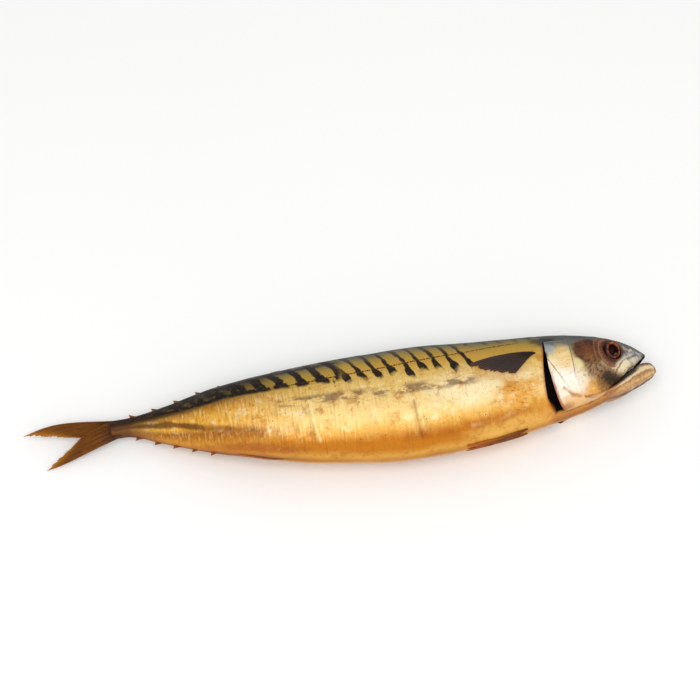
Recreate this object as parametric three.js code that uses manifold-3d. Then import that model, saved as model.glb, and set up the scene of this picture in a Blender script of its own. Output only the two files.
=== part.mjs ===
// A whole hot-smoked mackerel, lying on its left flank with its mouth ajar and its tail drooping.
//
// Millimetres. +X runs from the tail to the jaws, +Y from the belly to the back, and +Z is up,
// out of the right flank. Z = 0 is the surface the fish lies on.
//
// The skin is one closed surface. A place on it is a station, the share of the body's length
// behind the snout, and a girth angle in degrees: 0 on the right flank, 90 on the back, 180 on
// the left flank and -90 on the belly. Gill covers and folded fins are patches of that skin,
// each let into a bed that is cut from the body with a small clearance all round.

import * as THREE from 'three';
import { mergeVertices } from 'three/addons/utils/BufferGeometryUtils.js';
import Module from 'manifold-3d';

const wasm = await Module();
wasm.setup();

// ---------------------------------------------------------------- driving dimensions

const BODY_LENGTH = 288; // snout to the end of the tail stalk
const BODY_DEPTH = 63.5; // belly to back at the deepest station
const BODY_WIDTH = 39.6; // flank to flank at the widest station
const FLATTENED = 1.2; // how far the left flank is pressed flat where it rests
const TAIL_DROOP = 10; // fall of the tail stalk below the trunk's middle plane
const TAIL_ROLL = 18; // degrees the tail stalk turns its right side to the belly
const CLEARANCE = 0.3; // gap between neighbouring pieces

const COVER_THICKNESS = 2.4;
const GILL_SLIT = 5.2; // widest opening behind the gill cover, near the throat
const CHAMBER_DEPTH = 5; // hollow under the gill cover's rear edge

const EYE_DIAMETER = 9.6;
const EYE_THICKNESS = 6.4;
const EYE_BULGE = 0.9;

const JAW_HALF_WIDTH = 7.4; // lower jaw at its joint
const MOUTH_FLOOR = 2.6; // depth of the trough inside the lower jaw
const JAW_WALL = 1.6;

const FIN_THICKNESS = 1.1;
const FIN_PROUD = 0.35; // how far a folded fin stands above the skin
const PECTORAL_LENGTH = 34;
const PECTORAL_WIDTH = 12;
const PELVIC_LENGTH = 30;
const PELVIC_WIDTH = 5;
const FIRST_DORSAL_LENGTH = 47;
const SECOND_DORSAL_LENGTH = 26;
const ANAL_FIN_LENGTH = 35;
const FOLDED_FIN_WIDTH = 3.4; // across the back or the belly

const FINLET_COUNT = 5;
const FINLET_LENGTH = 5.6;
const FINLET_HEIGHT = 1.9;
const FINLET_THICKNESS = 1;
const DORSAL_FINLET_GAP = 16; // from the long fin in front to the first finlet
const ANAL_FINLET_GAP = 7;

const UPPER_LOBE_LENGTH = 48;
const LOWER_LOBE_LENGTH = 38;
const UPPER_LOBE_RISE = 9.8; // how far its tip stands above the stalk's axis
const LOWER_LOBE_FALL = 14.6;
const TAIL_BLADE_ROOT = 3.2; // thickness at the stalk
const TAIL_BLADE_TIP = 0.9;

// ---------------------------------------------------------------- the body's outline

// Station, back and belly as shares of the depth, half-width as a share of half the width.
const STATIONS = [
  [0.000, 0.020, -0.030, 0.05],
  [0.012, 0.076, -0.090, 0.15],
  [0.038, 0.154, -0.190, 0.39],
  [0.090, 0.240, -0.345, 0.69],
  [0.160, 0.295, -0.444, 0.87],
  [0.229, 0.321, -0.512, 0.94],
  [0.333, 0.351, -0.592, 0.99],
  [0.455, 0.376, -0.624, 1.00],
  [0.576, 0.362, -0.573, 0.95],
  [0.681, 0.334, -0.482, 0.83],
  [0.785, 0.285, -0.346, 0.63],
  [0.906, 0.203, -0.108, 0.30],
  [0.965, 0.176, 0.014, 0.19],
  [1.000, 0.172, 0.024, 0.17],
];
const DROOP_START = 0.72; // station behind which the tail sags

const stationList = STATIONS.map((row) => row[0]);
const curve = (column) => {
  const spline = new THREE.CubicInterpolant(stationList, STATIONS.map((row) => row[column]), 1);
  return (s) => spline.evaluate(THREE.MathUtils.clamp(s, 0, 1))[0];
};
const backShare = curve(1);
const bellyShare = curve(2);
const widthShare = curve(3);

const TRUNK_HEIGHT = BODY_WIDTH / 2 - FLATTENED; // middle plane above the table
const rad = THREE.MathUtils.degToRad;
const mix = THREE.MathUtils.lerp;
const along = (s) => BODY_LENGTH * (0.5 - s);
const level = (share) => BODY_DEPTH * share;
const sag = (s) => THREE.MathUtils.smoothstep(s, DROOP_START, 1);
const midHeight = (s) => TRUNK_HEIGHT - TAIL_DROOP * sag(s);
const axisLevel = (s) => level(backShare(s) + bellyShare(s)) / 2;
const halfDepth = (s) => level(backShare(s) - bellyShare(s)) / 2;
const halfWidth = (s) => (BODY_WIDTH / 2) * widthShare(s);

/** The point on the skin at station s and girth angle, lifted outward by some millimetres. */
function skin(s, angle, lift = 0) {
  const up = (halfDepth(s) + lift) * Math.sin(rad(angle));
  const out = (halfWidth(s) + lift) * Math.cos(rad(angle));
  const roll = rad(TAIL_ROLL) * sag(s);
  return new THREE.Vector3(
    along(s),
    axisLevel(s) + up * Math.cos(roll) - out * Math.sin(roll),
    midHeight(s) + up * Math.sin(roll) + out * Math.cos(roll),
  );
}

// ---------------------------------------------------------------- meshes and solids

/** A closed geometry from points and triangles, turned so that its faces point out. */
function closed(points, triangles) {
  let volume = 0;
  for (let i = 0; i < triangles.length; i += 3) {
    const [a, b, c] = [points[triangles[i]], points[triangles[i + 1]], points[triangles[i + 2]]];
    volume += a.dot(new THREE.Vector3().crossVectors(b, c));
  }
  const index = volume > 0 ? triangles : triangles.toReversed();
  const geometry = new THREE.BufferGeometry();
  geometry.setAttribute('position', new THREE.Float32BufferAttribute(points.flatMap((p) => p.toArray()), 3));
  geometry.setIndex(index);
  return geometry;
}

/** Skins a row of equal rings and closes both ends with a fan. */
function loft(rings) {
  const sides = rings[0].length;
  const points = rings.flat();
  const triangles = [];
  for (let r = 0; r < rings.length - 1; r++) {
    for (let k = 0; k < sides; k++) {
      const a = r * sides + k;
      const b = r * sides + ((k + 1) % sides);
      triangles.push(a, b, b + sides, a, b + sides, a + sides);
    }
  }
  for (const [ring, first] of [[rings[0], 0], [rings.at(-1), points.length - sides]]) {
    const centre = ring.reduce((sum, p) => sum.add(p), new THREE.Vector3()).divideScalar(sides);
    const hub = points.push(centre) - 1;
    for (let k = 0; k < sides; k++) {
      const edge = [first + k, first + ((k + 1) % sides)];
      triangles.push(hub, ...(first === 0 ? edge.reverse() : edge));
    }
  }
  return closed(points, triangles);
}

/** A slab of skin: place(u, v) gives [station, angle], and the slab lies between two lifts. */
function slab(place, low, high, columns, rows) {
  const width = rows + 1;
  const layer = (columns + 1) * width;
  const points = [];
  for (const lift of [low, high]) {
    for (let i = 0; i <= columns; i++) {
      for (let j = 0; j <= rows; j++) points.push(skin(...place(i / columns, j / rows), lift));
    }
  }
  const triangles = [];
  const quad = (a, b, c, d) => triangles.push(a, b, c, a, c, d);
  for (let i = 0; i < columns; i++) {
    for (let j = 0; j < rows; j++) {
      const a = i * width + j;
      quad(a, a + 1, a + width + 1, a + width);
      quad(layer + a, layer + a + width, layer + a + width + 1, layer + a + 1);
    }
  }
  for (let i = 0; i < columns; i++) {
    const near = i * width;
    const far = near + rows;
    quad(near, near + width, layer + near + width, layer + near);
    quad(far, layer + far, layer + far + width, far + width);
  }
  for (let j = 0; j < rows; j++) {
    const end = columns * width + j;
    quad(j, layer + j, layer + j + 1, j + 1);
    quad(end, end + 1, layer + end + 1, layer + end);
  }
  return closed(points, triangles);
}

/** A manifold solid from a closed geometry. */
function solid(geometry) {
  const bare = geometry.clone();
  bare.deleteAttribute('normal');
  bare.deleteAttribute('uv');
  const merged = mergeVertices(bare, 1e-4);
  return new wasm.Manifold(new wasm.Mesh({
    numProp: 3,
    vertProperties: new Float32Array(merged.attributes.position.array),
    triVerts: new Uint32Array(merged.index.array),
  }));
}

/** A geometry from a manifold solid. */
function geometryOf(manifold) {
  const mesh = manifold.getMesh();
  const geometry = new THREE.BufferGeometry();
  geometry.setAttribute('position', new THREE.Float32BufferAttribute(mesh.vertProperties, 3));
  geometry.setIndex(new THREE.Uint32BufferAttribute(mesh.triVerts, 1));
  return geometry;
}

/** Everything below the table, as a block that pressed-flat pieces are cut by. */
function belowTable() {
  const block = new THREE.BoxGeometry(2 * BODY_LENGTH, 4 * BODY_DEPTH, 2 * BODY_WIDTH);
  return solid(block.translate(0, 0, -BODY_WIDTH));
}

/** An outline in the X-Y plane pushed through the whole width of the fish. */
function throughCut(corners) {
  const shape = new THREE.Shape(corners.map(([s, share]) => new THREE.Vector2(along(s), level(share))));
  const geometry = new THREE.ExtrudeGeometry(shape, { depth: 2 * BODY_WIDTH, bevelEnabled: false });
  return solid(geometry.translate(0, 0, -BODY_WIDTH / 2));
}

// ---------------------------------------------------------------- pieces let into the skin

const mirrored = (side, angle) => (side === 'right' ? angle : 180 - angle);
const perLength = (mm) => mm / BODY_LENGTH;
const perGirth = (s, mm) => THREE.MathUtils.radToDeg(mm / Math.max(halfWidth(s), halfDepth(s)));

/** A patch and the bed it lies in, which is wider and deeper by the clearance. */
function inlay({ place, sunk, proud, columns, rows }) {
  const wider = (u, v) => {
    const [s, angle] = place(u, v);
    const [middle] = place(u, 0.5);
    const [, highest] = place(u, 1);
    const [, lowest] = place(u, 0);
    const turn = Math.sign(highest - lowest) * perGirth(middle, 1.6 * CLEARANCE);
    return [s + (2 * u - 1) * perLength(1.2 * CLEARANCE), angle + (2 * v - 1) * turn];
  };
  return {
    piece: solid(slab(place, -sunk, proud, columns, rows)),
    bed: solid(slab(wider, -sunk - CLEARANCE, proud + COVER_THICKNESS, columns, rows)),
  };
}

// Gill cover: from the cheek's edge (front) to the slit (rear), throat (v = 0) to nape (v = 1).
const COVER_LOW = -66;
const COVER_HIGH = 38;
const coverFront = (v) => mix(0.128, 0.146, Math.min(1, 2.2 * v));
const coverRear = (v) => 0.194 - 0.023 * (1 - v) ** 3 - 0.006 * v ** 4;
const slitRear = (v) => coverRear(v) + perLength(GILL_SLIT) * Math.min(1, 1.35 * (1 - v));

function gillCover(side) {
  const at = (edge) => (u, v) => [
    mix(coverFront(v), edge(v), u),
    mirrored(side, mix(COVER_LOW, COVER_HIGH, v)),
  ];
  const { piece, bed } = inlay({
    place: at(coverRear), sunk: COVER_THICKNESS, proud: 0, columns: 6, rows: 12,
  });
  const chamberPlace = (u, v) => [
    mix(mix(coverFront(v), coverRear(v), 0.45), slitRear(v), u),
    mirrored(side, mix(COVER_LOW + 3, COVER_HIGH - 3, v)),
  ];
  const chamber = slab(chamberPlace, -COVER_THICKNESS - CHAMBER_DEPTH, COVER_THICKNESS, 6, 12);
  return { piece, bed: bed.add(solid(chamber)) };
}

/** A fin folded back along the skin, from its root to a narrow tip. */
function foldedFin({ root, length, width, angle, turn = 0, sweep = 0, side = 'right' }) {
  const place = (u, v) => {
    const s = root + perLength(length) * u;
    const girth = perGirth(s, width) * (0.22 + 0.78 * Math.sin(Math.PI * (0.28 + 0.68 * u)));
    return [s + perLength(sweep) * (0.5 - v) * (1 - u), mirrored(side, angle + turn * u + girth * (v - 0.5))];
  };
  return inlay({ place, sunk: FIN_THICKNESS - FIN_PROUD, proud: FIN_PROUD, columns: 10, rows: 4 });
}

const PECTORAL = {
  root: 0.226, length: PECTORAL_LENGTH, width: PECTORAL_WIDTH, angle: 7, turn: 7, sweep: 6,
};
const PELVIC = { root: 0.256, length: PELVIC_LENGTH, width: PELVIC_WIDTH, angle: -80, turn: -4 };
const FIRST_DORSAL = { root: 0.355, length: FIRST_DORSAL_LENGTH, width: FOLDED_FIN_WIDTH, angle: 90 };
const SECOND_DORSAL = { root: 0.63, length: SECOND_DORSAL_LENGTH, width: FOLDED_FIN_WIDTH, angle: 90 };
const ANAL_FIN = { root: 0.66, length: ANAL_FIN_LENGTH, width: FOLDED_FIN_WIDTH, angle: -90 };

// ---------------------------------------------------------------- eyes

const EYE_STATION = 0.064;
const EYE_ANGLE = 21;

/** An eye, or its socket when grown by the clearance. */
function eyeball(side, grow = 0) {
  const lens = new THREE.SphereGeometry(1, 16, 10);
  const radius = EYE_DIAMETER / 2 + grow;
  lens.scale(radius, radius, EYE_THICKNESS / 2 + grow);
  const angle = mirrored(side, EYE_ANGLE);
  lens.rotateX(-rad(angle));
  const centre = skin(EYE_STATION, angle, EYE_BULGE - EYE_THICKNESS / 2);
  return solid(lens.translate(...centre.toArray()));
}

// ---------------------------------------------------------------- jaws

// The upper jaw's lower edge, from the throat round the jaw joint to the open front.
const MOUTH_EDGE = [
  [0.094, -0.420],
  [0.078, -0.305],
  [0.058, -0.228],
  [0.036, -0.158],
  [0.020, -0.080],
  [0.001, -0.002],
];
const MOUTH_CUT = [...MOUTH_EDGE, [-0.06, 0.02], [-0.06, -0.60], [0.094, -0.60]];

// The lower jaw's upper and lower edges, from its joint to its tip, as station and level.
const JAW_TOP = [[0.070, -0.300], [0.054, -0.246], [0.036, -0.186], [0.016, -0.128], [-0.008, -0.112]];
const JAW_BOTTOM = [[0.075, -0.326], [0.054, -0.302], [0.036, -0.272], [0.010, -0.222], [-0.014, -0.150]];
const JAW_NARROWING = [1, 0.97, 0.84, 0.62, 0.24];

/** A point of an edge list, read at a share of its length. */
function edgePoint(edge, share) {
  const path = new THREE.SplineCurve(edge.map(([s, y]) => new THREE.Vector2(along(s), level(y))));
  return path.getPoint(share);
}

/** The lower jaw as a keel-shaped scoop: a solid hull less the trough of its mouth floor. */
function lowerJaw() {
  const steps = 12;
  const narrowing = new THREE.SplineCurve(JAW_NARROWING.map((w, i) => new THREE.Vector2(i, w)));
  const hull = [];
  const trough = [];
  for (let i = 0; i <= steps; i++) {
    const top = edgePoint(JAW_TOP, i / steps);
    const bottom = edgePoint(JAW_BOTTOM, i / steps);
    const half = JAW_HALF_WIDTH * narrowing.getPoint(i / steps).y;
    hull.push(jawRing(top, bottom, half));
    const floor = top.clone().lerp(bottom, Math.min(0.6, MOUTH_FLOOR / top.distanceTo(bottom)));
    const lift = top.clone().sub(bottom).setLength(JAW_WALL);
    trough.push(jawRing(top.clone().add(lift), floor, Math.max(0.4, half - JAW_WALL)));
  }
  return solid(loft(hull)).subtract(solid(loft(trough.slice(2, -2))));
}

/** One ring of the jaw: flat across the top and round below. */
function jawRing(top, bottom, half) {
  const sides = 8;
  const ring = [];
  for (let k = 0; k <= sides; k++) {
    const turn = (Math.PI * k) / sides;
    const point = top.clone().lerp(bottom, Math.sin(turn) ** 0.8);
    ring.push(new THREE.Vector3(point.x, point.y, TRUNK_HEIGHT + half * Math.cos(turn)));
  }
  return ring;
}

// ---------------------------------------------------------------- body

/** The whole skin, snout to tail stalk, closed at both ends. */
function trunk() {
  const rings = [];
  const steps = 56;
  const sides = 32;
  for (let i = 0; i <= steps; i++) {
    const s = (i / steps) ** 1.3;
    rings.push(Array.from({ length: sides }, (_, k) => skin(s, (360 * k) / sides)));
  }
  return solid(loft(rings));
}

// ---------------------------------------------------------------- blades: finlets and tail lobes

/** A thin blade whose sections run from a foot to a crest, thinning towards the crest. */
function blade(sections) {
  return loft(sections.map(({ foot, crest, across, thickness }) => {
    const half = across.clone().multiplyScalar(thickness / 2);
    const waist = foot.clone().lerp(crest, 0.45);
    const slim = half.clone().multiplyScalar(0.45);
    return [
      foot.clone().add(slim), waist.clone().add(half), crest.clone().add(slim),
      crest.clone().sub(slim), waist.clone().sub(half), foot.clone().sub(slim),
    ];
  }));
}

/** One finlet: a small sail leaning back from the midline of the back or the belly. */
function finlet(s, angle) {
  const across = skin(s, angle + 90).sub(skin(s, angle - 90)).normalize();
  const sections = [];
  const steps = 5;
  for (let i = 0; i <= steps; i++) {
    const u = i / steps;
    const foot = skin(s + perLength(FINLET_LENGTH) * (u - 0.5), angle, CLEARANCE);
    const height = FINLET_HEIGHT * (0.2 + 0.8 * Math.sin(Math.PI * (0.1 + 0.75 * u)));
    const crest = skin(s + perLength(FINLET_LENGTH) * (u - 0.3), angle, CLEARANCE + height);
    sections.push({ foot, crest, across, thickness: FINLET_THICKNESS });
  }
  return blade(sections);
}

/** The stations of one row of finlets, from a gap behind the long fin in front of them. */
function finletRow({ root, length }, gap, last) {
  const first = root + perLength(length + gap + FINLET_LENGTH / 2);
  return Array.from({ length: FINLET_COUNT }, (_, i) => mix(first, last, i / (FINLET_COUNT - 1)));
}
const DORSAL_FINLETS = finletRow(SECOND_DORSAL, DORSAL_FINLET_GAP, 0.955);
const ANAL_FINLETS = finletRow(ANAL_FIN, ANAL_FINLET_GAP, 0.948);

/** One tail lobe, sweeping back and away from the stalk's axis, in the stalk's rolled plane. */
function tailLobe({ length, tipRise, innerRise, bow, forkDepth }) {
  const roll = rad(TAIL_ROLL);
  const up = new THREE.Vector3(0, Math.cos(roll), Math.sin(roll));
  const across = new THREE.Vector3(0, -Math.sin(roll), Math.cos(roll));
  const start = new THREE.Vector3(along(1) - CLEARANCE, axisLevel(1), midHeight(1));
  const sign = Math.sign(tipRise);
  const stalkHalf = halfDepth(1);
  const fall = new THREE.Vector3(-1, -0.035, -0.075);
  const sections = [];
  const steps = 12;
  for (let i = 0; i <= steps; i++) {
    const u = i / steps;
    const spine = start.clone().addScaledVector(fall, length * u);
    const outer = mix(sign * stalkHalf, tipRise, u) + sign * bow * Math.sin(Math.PI * u ** 1.2);
    const inner = sign * CLEARANCE + innerRise * u ** forkDepth;
    const tipClosing = mix(outer, inner, THREE.MathUtils.smoothstep(u, 0.86, 1) * 0.7);
    sections.push({
      foot: spine.clone().addScaledVector(up, inner),
      crest: spine.clone().addScaledVector(up, tipClosing),
      across,
      thickness: mix(TAIL_BLADE_ROOT, TAIL_BLADE_TIP, u ** 0.7),
    });
  }
  return blade(sections);
}

const LOBE_TIP_HEIGHT = 2.3; // of the blade's blunt tip, edge to edge
const UPPER_LOBE = {
  length: UPPER_LOBE_LENGTH,
  tipRise: UPPER_LOBE_RISE,
  innerRise: UPPER_LOBE_RISE - LOBE_TIP_HEIGHT,
  bow: 1.6,
  forkDepth: 1.8,
};
const LOWER_LOBE = {
  length: LOWER_LOBE_LENGTH,
  tipRise: -LOWER_LOBE_FALL,
  innerRise: LOBE_TIP_HEIGHT - LOWER_LOBE_FALL,
  bow: 0.4,
  forkDepth: 3.5,
};

// ---------------------------------------------------------------- finishes

const finish = (color, roughness) => ({ color, roughness, metalness: 0 });
const FINISHES = {
  skin: finish(0xd9a545, 0.38),
  cover: finish(0xe6d3c0, 0.3),
  jaw: finish(0xc2996a, 0.4),
  eye: finish(0x8c3d0c, 0.2),
  darkFin: finish(0x4a3838, 0.55),
  brownFin: finish(0x7a4a1c, 0.5),
};

// ---------------------------------------------------------------- assembly

const fish = new THREE.Group();

/** Adds one named sub-part, from a geometry or a manifold solid. */
function add(name, shape, finishName) {
  const geometry = shape.isBufferGeometry ? shape : geometryOf(shape);
  const material = new THREE.MeshStandardMaterial(FINISHES[finishName]);
  const mesh = new THREE.Mesh(geometry, material);
  mesh.name = name;
  fish.add(mesh);
}

const table = belowTable();
let body = trunk().subtract(throughCut(MOUTH_CUT));

/** Cuts a piece's bed out of the body, and adds the piece, trimmed flat where it meets the table. */
function letIn(name, { piece, bed }, finishName) {
  body = body.subtract(bed);
  add(name, piece.subtract(table), finishName);
}

for (const side of ['right', 'left']) {
  letIn(`gill_cover_${side}`, gillCover(side), 'cover');
  letIn(`pectoral_fin_${side}`, foldedFin({ ...PECTORAL, side }), 'darkFin');
  letIn(`pelvic_fin_${side}`, foldedFin({ ...PELVIC, side }), 'brownFin');
  letIn(`eye_${side}`, { piece: eyeball(side), bed: eyeball(side, CLEARANCE) }, 'eye');
}
letIn('first_dorsal_fin', foldedFin(FIRST_DORSAL), 'darkFin');
letIn('second_dorsal_fin', foldedFin(SECOND_DORSAL), 'darkFin');
letIn('anal_fin', foldedFin(ANAL_FIN), 'brownFin');
add('lower_jaw', lowerJaw(), 'jaw');
add('body', body.subtract(table), 'skin');

for (let i = 0; i < FINLET_COUNT; i++) {
  add(`dorsal_finlet_${i + 1}`, finlet(DORSAL_FINLETS[i], 90), 'brownFin');
  add(`anal_finlet_${i + 1}`, finlet(ANAL_FINLETS[i], -90), 'brownFin');
}
add('tail_fin_upper_lobe', tailLobe(UPPER_LOBE), 'brownFin');
add('tail_fin_lower_lobe', tailLobe(LOWER_LOBE), 'brownFin');

// The origin is the middle of the fish's box, on the table.
const box = new THREE.Box3().setFromObject(fish);
const middle = box.getCenter(new THREE.Vector3());
fish.position.set(-middle.x, -middle.y, -box.min.z);

export default fish;
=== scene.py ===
"""The looks of a whole hot-smoked mackerel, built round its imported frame.

Metres. +X runs from the tail to the jaws, +Y from the belly to the back, and +Z is up, out of the
right flank: the fish lies on its left one. A place on the skin is a station, the share of the
body's length behind the snout, and a girth angle in degrees: 0 on the right flank, 90 on the back,
180 on the left flank and -90 on the belly. The finishes read two measures of the skin instead:
the millimetres behind the snout, and the girth folded so that both flanks run from -90 to 90.
"""

import logging
import math
from dataclasses import dataclass, field
from enum import Enum
from typing import Any, Callable, Sequence, Union

import bpy
import numpy as np
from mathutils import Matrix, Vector


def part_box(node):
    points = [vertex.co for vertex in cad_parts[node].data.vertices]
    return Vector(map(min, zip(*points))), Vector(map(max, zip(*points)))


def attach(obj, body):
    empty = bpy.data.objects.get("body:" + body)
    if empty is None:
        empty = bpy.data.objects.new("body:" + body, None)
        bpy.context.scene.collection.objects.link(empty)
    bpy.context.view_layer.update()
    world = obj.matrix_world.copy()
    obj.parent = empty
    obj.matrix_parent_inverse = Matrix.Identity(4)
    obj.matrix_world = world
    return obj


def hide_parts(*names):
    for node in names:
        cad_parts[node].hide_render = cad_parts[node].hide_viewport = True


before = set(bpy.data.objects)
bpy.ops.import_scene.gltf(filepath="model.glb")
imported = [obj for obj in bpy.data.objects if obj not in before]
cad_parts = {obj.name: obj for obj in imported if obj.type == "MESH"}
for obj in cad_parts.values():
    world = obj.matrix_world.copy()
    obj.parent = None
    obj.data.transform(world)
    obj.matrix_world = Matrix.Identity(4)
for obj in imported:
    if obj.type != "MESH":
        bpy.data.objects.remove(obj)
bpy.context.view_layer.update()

log = logging.getLogger("mackerel")

Array = np.ndarray
Colour = tuple[float, float, float, float]
Spot = tuple[float, float]  # millimetres behind the snout, folded girth in degrees
Route = tuple[Spot, Spot, float]  # a line's ends, and millimetres to a degree of girth there
Knot = tuple[float, float]  # a station, and a share of the body's depth
Fade = tuple[float, float]  # the values where something starts to show and where it is full
MM = 0.001
ROOT = "root"


class Flank(Enum):
    """A side of the fish, by the sign that its half of the skin carries."""

    RIGHT = 1
    LEFT = -1
    BOTH = 0


class Midline(Enum):
    """An edge of the fish, by its girth angle."""

    BACK = 90.0
    BELLY = -90.0


class Lobe(Enum):
    """A half of the tail fin, by the way it points from the stalk's axis."""

    UPPER = 1
    LOWER = -1


# ---------------------------------------------------------------- numbers


def smooth(low: float, high: float, value: Array) -> Array:
    """Rises smoothly from 0 at low to 1 at high, or falls where low is the greater.

    Args:
        low: The value that gives 0.
        high: The value that gives 1.
        value: What is measured.

    Returns:
        Shares from 0 to 1.
    """
    share = np.clip((np.asarray(value, float) - low) / (high - low), 0.0, 1.0)
    return share * share * (3.0 - 2.0 * share)


def blend(first: Any, second: Any, share: Any) -> Any:
    """The value a share of the way from first to second."""
    return first + (second - first) * share


def bowed(first: Any, bow: Any, last: Any, share: Any) -> Any:
    """The value a share of the way along a curve from first to last that bow draws aside."""
    return (1 - share) ** 2 * first + 2 * share * (1 - share) * bow + share**2 * last


def through(knots: Sequence[float], values: Sequence[float], at: Array) -> Array:
    """Reads a smooth curve that passes through values at rising knots.

    Args:
        knots: Where the values are given, rising.
        values: The curve's values there.
        at: Where the curve is read.

    Returns:
        The curve's values at those places.
    """
    knots, values = np.asarray(knots, float), np.asarray(values, float)
    at = np.clip(np.asarray(at, float), knots[0], knots[-1])
    slopes = np.diff(values) / np.diff(knots)
    tangents = np.concatenate([slopes[:1], (slopes[1:] + slopes[:-1]) / 2, slopes[-1:]])
    i = np.clip(np.searchsorted(knots, at, side="right") - 1, 0, len(knots) - 2)
    span = knots[i + 1] - knots[i]
    p = (at - knots[i]) / span
    return (
        (2 * p**3 - 3 * p**2 + 1) * values[i]
        + (p**3 - 2 * p**2 + p) * span * tangents[i]
        + (3 * p**2 - 2 * p**3) * values[i + 1]
        + (p**3 - p**2) * span * tangents[i + 1]
    )


def greater(first: Array, second: Array, radius: float) -> Array:
    """The greater of two heights, with the corner between them rounded by a radius."""
    gap = np.maximum(radius - np.abs(first - second), 0.0)
    return np.maximum(first, second) + gap * gap / (4.0 * radius)


@dataclass(frozen=True)
class Ground:
    """Places on the skin, with what is measured there."""

    behind: Array  # millimetres behind the snout
    girth: Array  # folded girth angles
    per_degree: Array | float  # millimetres of skin to a degree of girth
    side: Array | int = Flank.RIGHT.value


def reach(route: Sequence[Spot], ground: Ground) -> Array:
    """Measures how far places on the skin are from a line drawn over it.

    Args:
        route: The line's points.
        ground: The places.

    Returns:
        Distances in millimetres.
    """
    nearest = np.full(np.shape(ground.behind), np.inf)
    for (x0, g0), (x1, g1) in zip(route[:-1], route[1:]):
        run, rise = x1 - x0, (g1 - g0) * ground.per_degree
        dx, dy = ground.behind - x0, (ground.girth - g0) * ground.per_degree
        share = np.clip((dx * run + dy * rise) / (run * run + rise * rise), 0.0, 1.0)
        nearest = np.minimum(nearest, np.hypot(dx - share * run, dy - share * rise))
    return nearest


def arc(centre: Spot, radius: float, start: float, end: float, per_degree: float) -> list[Spot]:
    """A round line over the skin.

    Args:
        centre: The middle of the circle.
        radius: Its radius in millimetres.
        start: Its first angle in degrees, 0 towards the tail and 90 towards the back.
        end: Its last angle.
        per_degree: Millimetres of skin to a degree of girth there.

    Returns:
        The line's points.
    """
    turns = np.radians(np.linspace(start, end, 12))
    return [
        (centre[0] + radius * math.cos(t), centre[1] + radius * math.sin(t) / per_degree)
        for t in turns
    ]


class Grain:
    """Smooth random variation over a plane, the same on every run."""

    def __init__(self, seed: int) -> None:
        """Draws the values at whole numbers from a seed."""
        self.size = 97
        self.lattice = np.random.default_rng(seed).uniform(-1, 1, (self.size, self.size))

    def at(self, x: Array, y: Array) -> Array:
        """Reads the variation, whose features are about one unit across.

        Args:
            x: The first coordinate.
            y: The second coordinate.

        Returns:
            Values from -1 to 1.
        """
        x, y = np.broadcast_arrays(np.asarray(x, float), np.asarray(y, float))
        i, j = np.floor(x).astype(int), np.floor(y).astype(int)
        u, v = smooth(0, 1, x - i), smooth(0, 1, y - j)
        i, j = i % self.size, j % self.size
        i2, j2 = (i + 1) % self.size, (j + 1) % self.size
        low = blend(self.lattice[i, j], self.lattice[i2, j], u)
        high = blend(self.lattice[i, j2], self.lattice[i2, j2], u)
        return blend(low, high, v)


# ---------------------------------------------------------------- meshes


@dataclass
class Draft:
    """A mesh in the making: points, faces and what each point measures."""

    points: Array
    faces: list[list[int]]
    measures: dict[str, Array] = field(default_factory=dict)
    sheet_map: Array | None = None  # a place on a flat map for each corner of each face

    def piece(
        self, name: str, slot: str, material: bpy.types.Material, nodes: Sequence[str]
    ) -> bpy.types.Object:
        """Makes the object that stands for some nodes of the frame.

        Args:
            name: The piece's name.
            slot: A material slot's name; not used.
            material: The piece's finish.
            nodes: The nodes that it replaces.

        Returns:
            The object, riding on the root body.
        """
        mesh = bpy.data.meshes.new(name)
        mesh.from_pydata(self.points.reshape(-1, 3).tolist(), [], self.faces)
        mesh.validate()
        for key, values in self.measures.items():
            attribute = mesh.attributes.new(key, "FLOAT", "POINT")
            attribute.data.foreach_set("value", np.ravel(values).astype(np.float32))
        if self.sheet_map is not None:
            layer = mesh.uv_layers.new(name="OFBake")
            layer.data.foreach_set("uv", self.sheet_map.astype(np.float32).ravel())
        mesh.polygons.foreach_set("use_smooth", np.ones(len(mesh.polygons), bool))
        mesh.materials.append(material)
        piece = bpy.data.objects.new(name, mesh)
        bpy.context.scene.collection.objects.link(piece)
        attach(piece, ROOT)
        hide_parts(*nodes)
        log.info("%s: %d points", name, len(mesh.vertices))
        return piece


def tube(rows: int, columns: int) -> Array:
    """The faces that join rings of points, row by row.

    Args:
        rows: How many rings.
        columns: Points to a ring.

    Returns:
        Point numbers, four to a face.
    """
    i, j = np.meshgrid(np.arange(rows - 1), np.arange(columns), indexing="ij")
    a, b = i * columns + j, i * columns + (j + 1) % columns
    return np.stack([a, b, b + columns, a + columns], axis=-1).reshape(-1, 4)


def capped(rings: Array, hubs: Sequence[Array], measures: dict[str, Array]) -> Draft:
    """Joins rings of points and closes both ends with a fan round a hub.

    Args:
        rings: The points, rows by columns by 3.
        hubs: The points that close the first and the last ring.
        measures: What each point of the rings measures.

    Returns:
        The closed mesh.
    """
    rows, columns = rings.shape[:2]
    first, last = rows * columns, (rows - 1) * columns
    around = [(k, (k + 1) % columns) for k in range(columns)]
    fans = [[first, b, a] for a, b in around] + [[first + 1, last + a, last + b] for a, b in around]
    flat = {key: np.append(np.ravel(m), [np.mean(m[0]), np.mean(m[-1])]) for key, m in measures.items()}
    return Draft(np.concatenate([rings.reshape(-1, 3), hubs]), tube(rows, columns).tolist() + fans, flat)


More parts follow.
